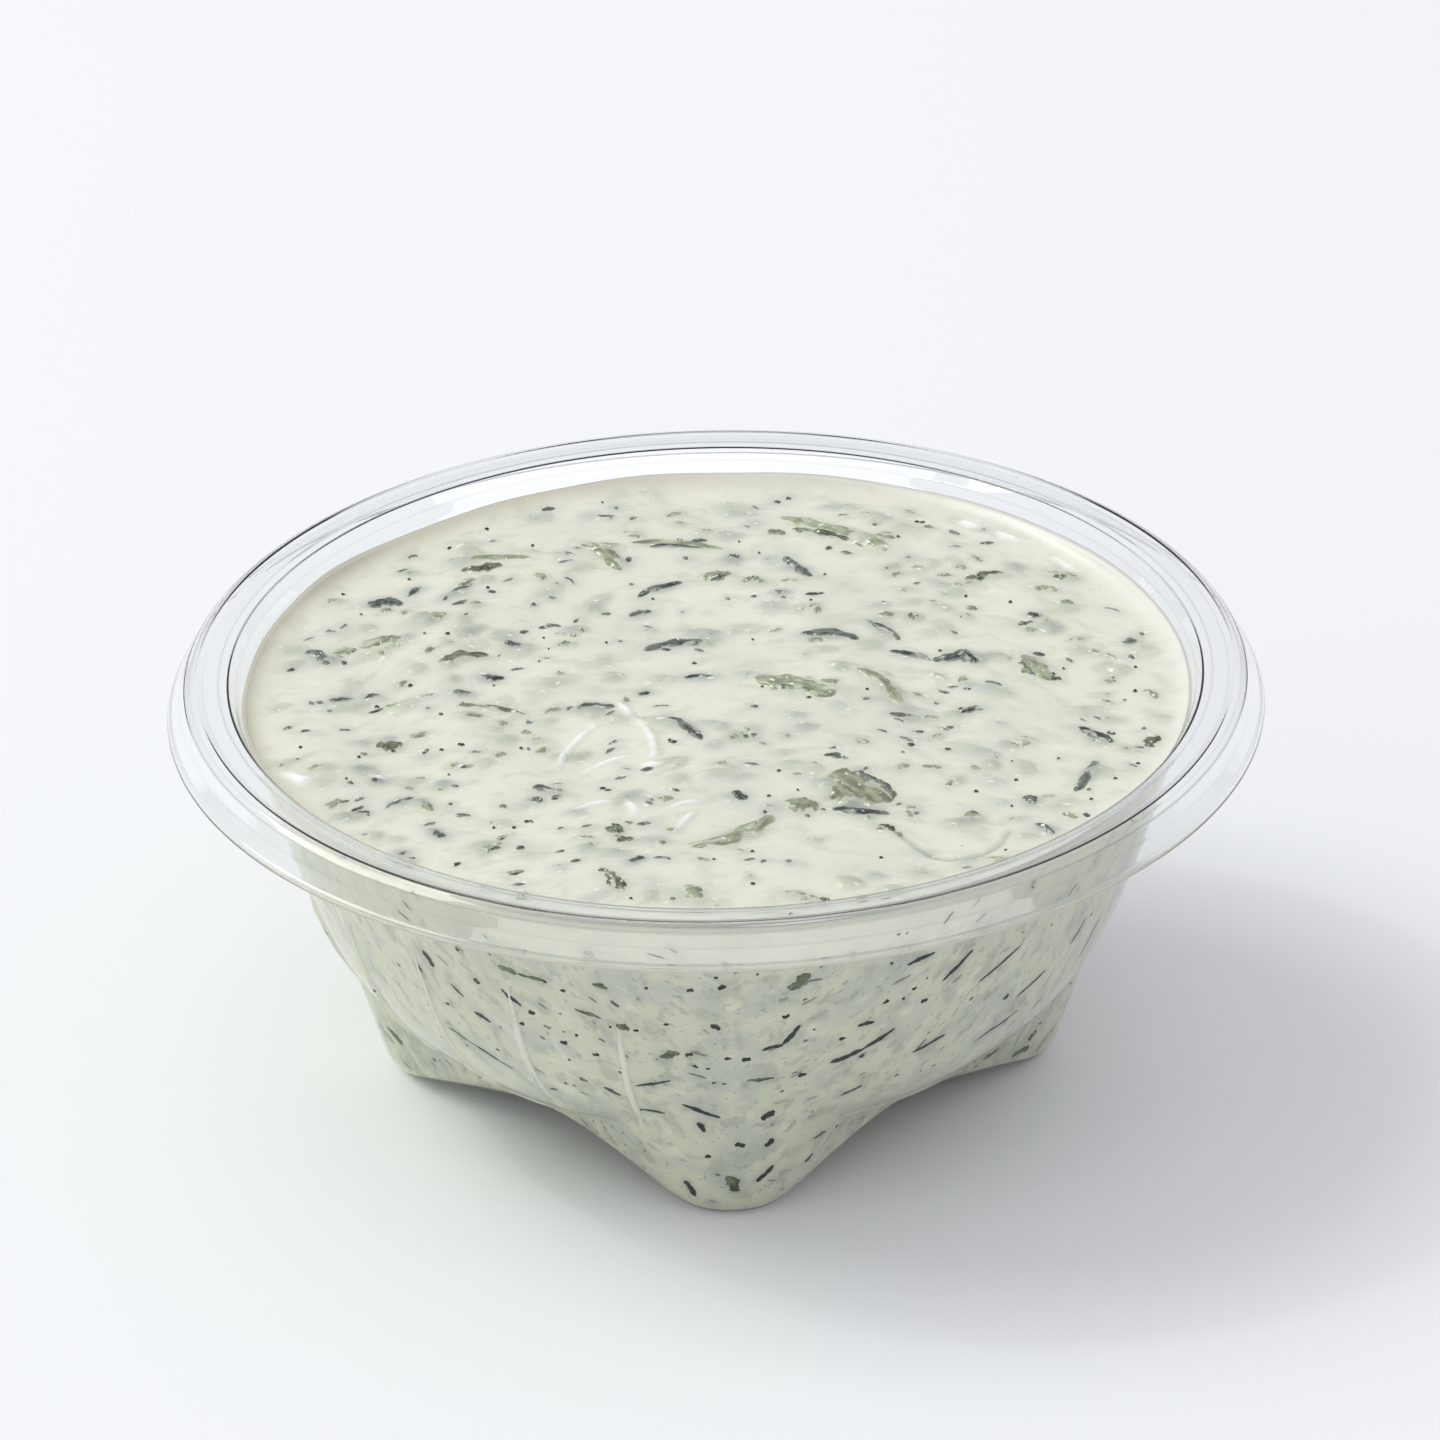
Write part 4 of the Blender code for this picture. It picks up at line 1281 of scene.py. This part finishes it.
def make_cream():
    """The cream: its top, and its side and underside that reach just into the clear wall."""
    tub = settings("tub")
    top = shared_surface()
    reach = IN_WALL * tub.sheet
    flat, faces, edge = disc(settings("cream").cells)
    turn = np.arctan2(flat[:, 1], flat[:, 0])
    edge_height = DIP_LEVEL + CREAM_EDGE_RISE + edge_climb(turn)
    edge_radius = wall_radius(RIM_HEIGHT - edge_height) + reach
    x, y = flat[:, 0] * edge_radius, flat[:, 1] * edge_radius
    from_wall = edge_radius * (1.0 - np.hypot(flat[:, 0], flat[:, 1]))
    near = np.exp(-from_wall / CREAM_EDGE_REACH)
    height = top.sample(top.height, x, y) * (1.0 - near) + edge_height * near
    side = cream_side(edge, RIM_HEIGHT - edge_height[edge[::2]])
    start = len(x)
    faces += side_faces(edge, start, len(side))
    body = side.reshape(-1, 3)
    bottom = np.array(((0.0, 0.0, tub.sheet + FLOOR_RISE - reach),))
    points = np.concatenate((np.stack((x, y, height), axis=-1), body, bottom))

    def above(values):
        """A mask that is 0 on the side."""
        return np.concatenate((values, np.zeros(len(body) + 1)))

    masks = {name: above(top.sample(values, x, y)) for name, values in top.clouds.items()}
    wall_clouds(masks, body, start)
    masks["wet"] = above(top.sample(top.wet, x, y))
    # A painted band of shade at the wall on the side away from the lamp.
    shade = np.clip(np.cos(turn - SHADE_HEADING) + 0.25, 0.0, 1.0) * np.exp(-(from_wall / SHADE_REACH) ** 2)
    masks["painted_edge_shade"] = above(shade)
    # A painted band of light at the wall on the side that faces the lamp.
    lit_band = np.clip(np.cos(turn - CLIMB_HEADING), 0.0, 1.0) * np.exp(-(from_wall / LIT_BAND_REACH) ** 2)
    masks["painted_edge_light"] = above(lit_band)
    masks["side"] = 1.0 - above(np.ones(start))
    masks["warm"] = masks["side"] * (1.0 - smooth_step(*WARM_DEPTHS, RIM_HEIGHT - points[:, 2]))
    flow_side = wall_flow(np.arctan2(body[:, 1], body[:, 0]), np.hypot(body[:, 0], body[:, 1]), body[:, 2])
    for name, on_top, on_side in zip(("along", "across", "deep"), top_flow(x, y), flow_side):
        masks[name] = np.concatenate((on_top, on_side, (0.0,)))
    piece = make_piece("cream", points, faces, cream_finish("cream"), masks)
    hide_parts("tzatziki")


def make_ribs():
    """The cream that fills the raised ribs of the wall."""
    tub = settings("tub")
    ribs = Shreds(settings("pieces").seed + 77)
    for angle, top in rib_places():
        length = RIB_END_DEPTH - top
        middle = RIM_HEIGHT - RIB_END_DEPTH + length / 2.0
        piece = (math.degrees(angle), middle, length, RIB_CREAM_WIDTH * tub.rib_width, 90.0)
        ribs.on_wall(piece, tub.rib_height * RIB_CREAM_RISE, 40, 10, 0.0, RIB_CREAM_OUT * tub.sheet)
    ribs.make("cream_ribs", cream_finish("cream_in_ribs"))


def wall_clouds(masks, body, start):
    """Clouds the cream round the pieces that lie against the wall."""
    angle = np.arctan2(body[:, 1], body[:, 0])
    radius = np.hypot(body[:, 0], body[:, 1])
    listed = (
        ("skin_cloud", wall_pieces(WALL_SKIN_SEEN), 0.5),
        ("green_cloud_and_crease_shade", wall_pieces(WALL_HERB_SEEN), 0.6),
        ("skin_cloud", wall_flakes(), 0.3),
        ("green_cloud_and_crease_shade", wall_greens(), 0.5),
    )
    for cloud, pieces, strength in listed:
        for around, height, length, width, slope in pieces:
            u, v = turn_between(angle, math.radians(around)) * radius, body[:, 2] - height
            near = np.nonzero(np.maximum(np.abs(u), np.abs(v)) < length + WALL_CLOUD_REACH)[0]
            along, across = turned(u[near], v[near], slope)
            along = along / (length / 2.0 + WALL_CLOUD_ALONG)
            across = across / (width / 2.0 + WALL_CLOUD_ACROSS)
            halo = np.exp(-WALL_CLOUD_FALL * (along * along + across * across))
            deepen(masks[cloud], start + near, strength * halo)


def wall_flakes():
    pieces = settings("pieces")
    return random_wall_pieces(pieces.wall_flakes, pieces.seed + 3, (0.5, 2.6), (0.2, 0.45))


def wall_greens():
    return random_wall_pieces(60, settings("pieces").seed + 5, (1.0, 3.4), (0.4, 1.1))


def cucumber_crumbs():
    pieces = settings("pieces")
    return random_top_pieces(pieces.crumbs_flesh, pieces.seed + 21, (1.0, 3.6), (0.5, 1.3), (0.2, 0.4))


def skin_edges():
    """Dark strips of skin left along one side of some pieces of flesh."""
    strips = []
    for i, (x, y, length, width, heading, rise, bend) in enumerate(top_pieces(CUCUMBER_SEEN)):
        if i % 3 != 2:
            side = math.copysign(STRIP_SIDE * width, (-1) ** i)
            turn = math.radians(heading)
            strips.append((x - side * math.sin(turn), y + side * math.cos(turn), length * STRIP_LENGTH,
                           max(STRIP_WIDTH * width, STRIP_LEAST), heading + STRIP_TURN, rise * STRIP_RISE,
                           bend * STRIP_BEND))
    return strips


def make_shreds(name, seed, finish, on_top, on_wall=()):
    """One joined mesh of all pieces of a kind, which come in groups: the pieces, and how each is shaped."""
    top = shared_surface()
    shreds = Shreds(settings("pieces").seed + seed)
    for pieces, stations, sides, ragged, sink in on_top:
        for piece in pieces:
            shreds.on_top(top, piece, stations, sides, ragged, sink)
    for pieces, rise, stations, sides, ragged, film in on_wall:
        for piece in pieces:
            shreds.on_wall(piece, rise, stations, sides, ragged, BEHIND_WALL, film)
    shreds.make(name, finish)


def make_cucumber():
    """Pieces of cucumber flesh, half covered by cream."""
    flesh = settings("pieces").flesh
    finish = piece_finish("cucumber_flesh", tuple(flesh), tinted(flesh, 2.2), 1.1, 0.22, 0.8)
    make_shreds("cucumber", 101, finish, (
        (top_pieces(CUCUMBER_SEEN), 26, 18, 0.13, DEEP_SINK),
        (cucumber_crumbs(), 9, 8, 0.18, DEEP_SINK)))


def make_skin():
    """Dark shreds of cucumber skin on the top and behind the wall."""
    tones = settings("pieces")
    finish = piece_finish("cucumber_skin", tuple(tones.skin), tuple(tones.skin_light), 0.9, 0.28, 0.7)
    behind = [(angle, height, length * 1.1, width * 1.35, slope)
              for angle, height, length, width, slope in wall_pieces(WALL_SKIN_SEEN)]
    make_shreds("skin_shreds", 202, finish, (
        (top_pieces(SKIN_SEEN), 16, 10, 0.16, DEEP_SINK),
        (skin_edges(), 14, 8, 0.2, DEEP_SINK),
        (small_flakes(), 6, 7, 0.15, SMALL_SINK)), (
        (behind, 0.14, 16, 8, 0.16, 0.0),
        (wall_flakes(), 0.07, 6, 6, 0.12, 0.6)))


def make_herbs():
    """Green flakes of herb on the top and behind the wall."""
    tones = settings("pieces")
    finish = piece_finish("herb", tuple(tones.herb), tuple(tones.herb_light), 1.0, 0.3, 0.7, 0.9)
    make_shreds("herbs", 303, finish, ((top_pieces(HERB_SEEN), 18, 12, 0.2, DEEP_SINK),), (
        (wall_pieces(WALL_HERB_SEEN), 0.10, 14, 10, 0.2, 0.0),
        (wall_greens(), 0.06, 10, 8, 0.2, 0.8)))


def make_pepper():
    """Small black specks on the top and behind the wall."""
    pieces = settings("pieces")
    finish = piece_finish("pepper", tuple(pieces.pepper), tuple(pieces.pepper_light), 0.3, 0.4, 0.2)
    strewn = random_top_pieces(pieces.specks, pieces.seed + 9, (0.3, 0.6), (0.22, 0.5), (0.2, 0.3))
    above = [(*seen_on_top(px, py).xy, size * 1.25, size * 0.8, 20.0, 0.25, 0.0)
             for px, py, size in TOP_PEPPER_SEEN]
    above += [(x, y, width * 1.3, width, heading, 0.22, 0.0) for x, y, _, width, heading, _, _ in strewn]
    seen = []
    for px, py, size in WALL_PEPPER_SEEN:
        angle, height, _ = seen_on_wall(px, py)
        seen.append((math.degrees(angle), height, size * 1.3, size * 0.8, 20.0))
    strewn = random_wall_pieces(pieces.wall_specks, pieces.seed + 13, (0.3, 0.9), (0.2, 0.45))
    behind = [(angle, height, max(length, width), width, slope)
              for angle, height, length, width, slope in strewn]
    make_shreds("pepper", 404, finish, ((above, 5, 8, 0.2, SMALL_SINK),), (
        (seen, 0.12, 6, 8, 0.2, 0.0),
        (behind, 0.12, 5, 7, 0.2, 0.0)))


def link(name, data):
    """A new object in the scene."""
    made = bpy.data.objects.new(name, data)
    bpy.context.scene.collection.objects.link(made)
    return made


def make_camera():
    back, right, up = view_axes()
    data = bpy.data.cameras.new("camera")
    data.lens = settings("stage").lens
    data.shift_x = (FRAME_PIXELS / 2.0 - RIM_CENTRE_AT[0]) / FRAME_PIXELS
    data.shift_y = (RIM_CENTRE_AT[1] - FRAME_PIXELS / 2.0) / FRAME_PIXELS
    data.clip_start = 0.05
    camera = link("camera", data)
    camera.location = (Vector((0.0, 0.0, RIM_HEIGHT)) + back * VIEW_DISTANCE) * MM
    turned_right = right * math.cos(VIEW_ROLL) - up * math.sin(VIEW_ROLL)
    turned_up = up * math.cos(VIEW_ROLL) + right * math.sin(VIEW_ROLL)
    camera.rotation_mode = "QUATERNION"
    camera.rotation_quaternion = Matrix((turned_right, turned_up, back)).transposed().to_quaternion()
    bpy.context.scene.camera = camera


def add_lamp(name, place, size, height, power, colour=(1.0, 1.0, 1.0)):
    """A flat lamp that shines at the tub."""
    data = bpy.data.lights.new(name, "AREA")
    data.shape = "RECTANGLE"
    data.size = size
    data.size_y = height
    data.energy = power
    data.color = colour
    lamp = link(name, data)
    lamp.location = place
    lamp.rotation_mode = "QUATERNION"
    lamp.rotation_quaternion = (Vector(LAMPS_AIM) - lamp.location).to_track_quat("-Z", "Y")
    return lamp


def make_floor():
    stage = settings("stage")
    mesh = bmesh.new()
    bmesh.ops.create_grid(mesh, x_segments=1, y_segments=1, size=FLOOR_HALF)
    data = bpy.data.meshes.new("floor")
    mesh.to_mesh(data)
    mesh.free()
    floor = link("floor", data)
    finish = Finish("floor")
    mottle = finish.mix(finish.noise(60.0, 2.0) * 0.1, tuple(stage.floor), tinted(stage.floor, 0.98))
    finish.surface(Base_Color=mottle, Roughness=0.7)
    data.materials.append(finish.material)
    floor.location.z = -0.02 * MM


def lamp_way(right, front, up):
    """A direction in the photograph's view: to its right, level towards the camera, and upwards."""
    back, side, _ = view_axes()
    level = Vector((back.x, back.y, 0.0)).normalized()
    return side * right + level * front + Vector((0.0, 0.0, up))


def make_light():
    """A large lamp at the upper left, a little behind the tub, and pale light all round."""
    stage = settings("stage")
    place = lamp_way(right=-0.50, front=-0.16, up=0.62).normalized() * KEY_DISTANCE
    add_lamp("key", place, 1.2, 1.2, stage.key, (0.965, 1.0, 0.87))
    add_lamp("spark", place, 0.12, 0.12, stage.spark)
    place = lamp_way(right=-0.80, front=0.35, up=0.5) * CARD_DISTANCE
    add_lamp("left_strip", place, 0.9, 0.03, stage.strips)
    place = lamp_way(right=0.12, front=0.80, up=0.62) * CARD_DISTANCE
    card = add_lamp("front_card", place, 4.2, 1.3, stage.card)
    card.data.spread = math.radians(150.0)
    lit = bpy.data.collections.new("lit_by_card")
    lit.objects.link(bpy.data.objects["tub_sheet"])
    card.light_linking.receiver_collection = lit
    world = bpy.data.worlds.new("sky")
    world.use_nodes = True
    sky = Nodes(world.node_tree)
    direction = sky.node("ShaderNodeTexCoord", output="Generated")
    lift = sky.math("MAXIMUM", sky.node("ShaderNodeSeparateXYZ", values={0: direction}, output="Z"), 0.0)
    background = world.node_tree.nodes["Background"]
    sky.feed(background.inputs["Color"], tuple(stage.sky_colour))
    sky.feed(background.inputs["Strength"], lift * (stage.sky * SKY_LIFT) + stage.sky * SKY_LEVEL)
    bpy.context.scene.world = world
    bpy.context.scene.view_settings.view_transform = "Standard"


def run(step):
    """Runs one step; an error in it is passed on."""
    step()
    return {"FINISHED"}


class TZATZIKI_OT_tub(bpy.types.Operator):
    """Make the clear tub"""
    bl_idname = "tzatziki.tub"
    bl_label = "Clear Tub"

    def execute(self, context):
        return run(make_tub)


class TZATZIKI_OT_cream(bpy.types.Operator):
    """Make the cream that fills the tub"""
    bl_idname = "tzatziki.cream"
    bl_label = "Cream"

    def execute(self, context):
        return run(make_cream)


class TZATZIKI_OT_ribs(bpy.types.Operator):
    """Make the cream that fills the ribs of the wall"""
    bl_idname = "tzatziki.ribs"
    bl_label = "Cream in Ribs"

    def execute(self, context):
        return run(make_ribs)


class TZATZIKI_OT_cucumber(bpy.types.Operator):
    """Make the pieces of cucumber flesh"""
    bl_idname = "tzatziki.cucumber"
    bl_label = "Cucumber"

    def execute(self, context):
        return run(make_cucumber)


class TZATZIKI_OT_skin(bpy.types.Operator):
    """Make the dark shreds of cucumber skin"""
    bl_idname = "tzatziki.skin"
    bl_label = "Skin Shreds"

    def execute(self, context):
        return run(make_skin)


class TZATZIKI_OT_herbs(bpy.types.Operator):
    """Make the herb flakes"""
    bl_idname = "tzatziki.herbs"
    bl_label = "Herbs"

    def execute(self, context):
        return run(make_herbs)


class TZATZIKI_OT_pepper(bpy.types.Operator):
    """Make the pepper specks"""
    bl_idname = "tzatziki.pepper"
    bl_label = "Pepper"

    def execute(self, context):
        return run(make_pepper)


class TZATZIKI_OT_stage(bpy.types.Operator):
    """Make the floor, the light and the camera"""
    bl_idname = "tzatziki.stage"
    bl_label = "Stage"

    def execute(self, context):
        make_camera()
        make_floor()
        make_light()
        return {"FINISHED"}


OPERATORS = (TZATZIKI_OT_stage, TZATZIKI_OT_tub, TZATZIKI_OT_cream, TZATZIKI_OT_ribs, TZATZIKI_OT_cucumber,
             TZATZIKI_OT_skin, TZATZIKI_OT_herbs, TZATZIKI_OT_pepper)


class TZATZIKI_PT_panel(bpy.types.Panel):
    """Lists the steps and their settings"""
    bl_label = "Tzatziki Tub"
    bl_idname = "TZATZIKI_PT_panel"
    bl_space_type = "VIEW_3D"
    bl_region_type = "UI"
    bl_category = "Tzatziki"

    def draw(self, context):
        for operator in OPERATORS:
            self.layout.operator(operator.bl_idname)
        for kind in GROUPS:
            group = settings(kind)
            box = self.layout.box()
            for name in group.bl_rna.properties.keys():
                if name not in ("rna_type", "name"):
                    box.prop(group, name)


GROUPS = {"tub": TubSettings, "cream": CreamSettings, "pieces": PieceSettings, "stage": StageSettings}
CLASSES = tuple(GROUPS.values()) + OPERATORS + (TZATZIKI_PT_panel,)


def register():
    for one in CLASSES:
        bpy.utils.register_class(one)
    for kind, group in GROUPS.items():
        setattr(bpy.types.Scene, "tzatziki_" + kind, PointerProperty(type=group))


def unregister():
    for kind in GROUPS:
        delattr(bpy.types.Scene, "tzatziki_" + kind)
    for one in reversed(CLASSES):
        bpy.utils.unregister_class(one)


def main():
    register()
    bpy.ops.tzatziki.tub()
    bpy.ops.tzatziki.cream()
    bpy.ops.tzatziki.ribs()
    bpy.ops.tzatziki.cucumber()
    bpy.ops.tzatziki.skin()
    bpy.ops.tzatziki.herbs()
    bpy.ops.tzatziki.pepper()
    bpy.ops.tzatziki.stage()


if __name__ == "__main__":
    main()
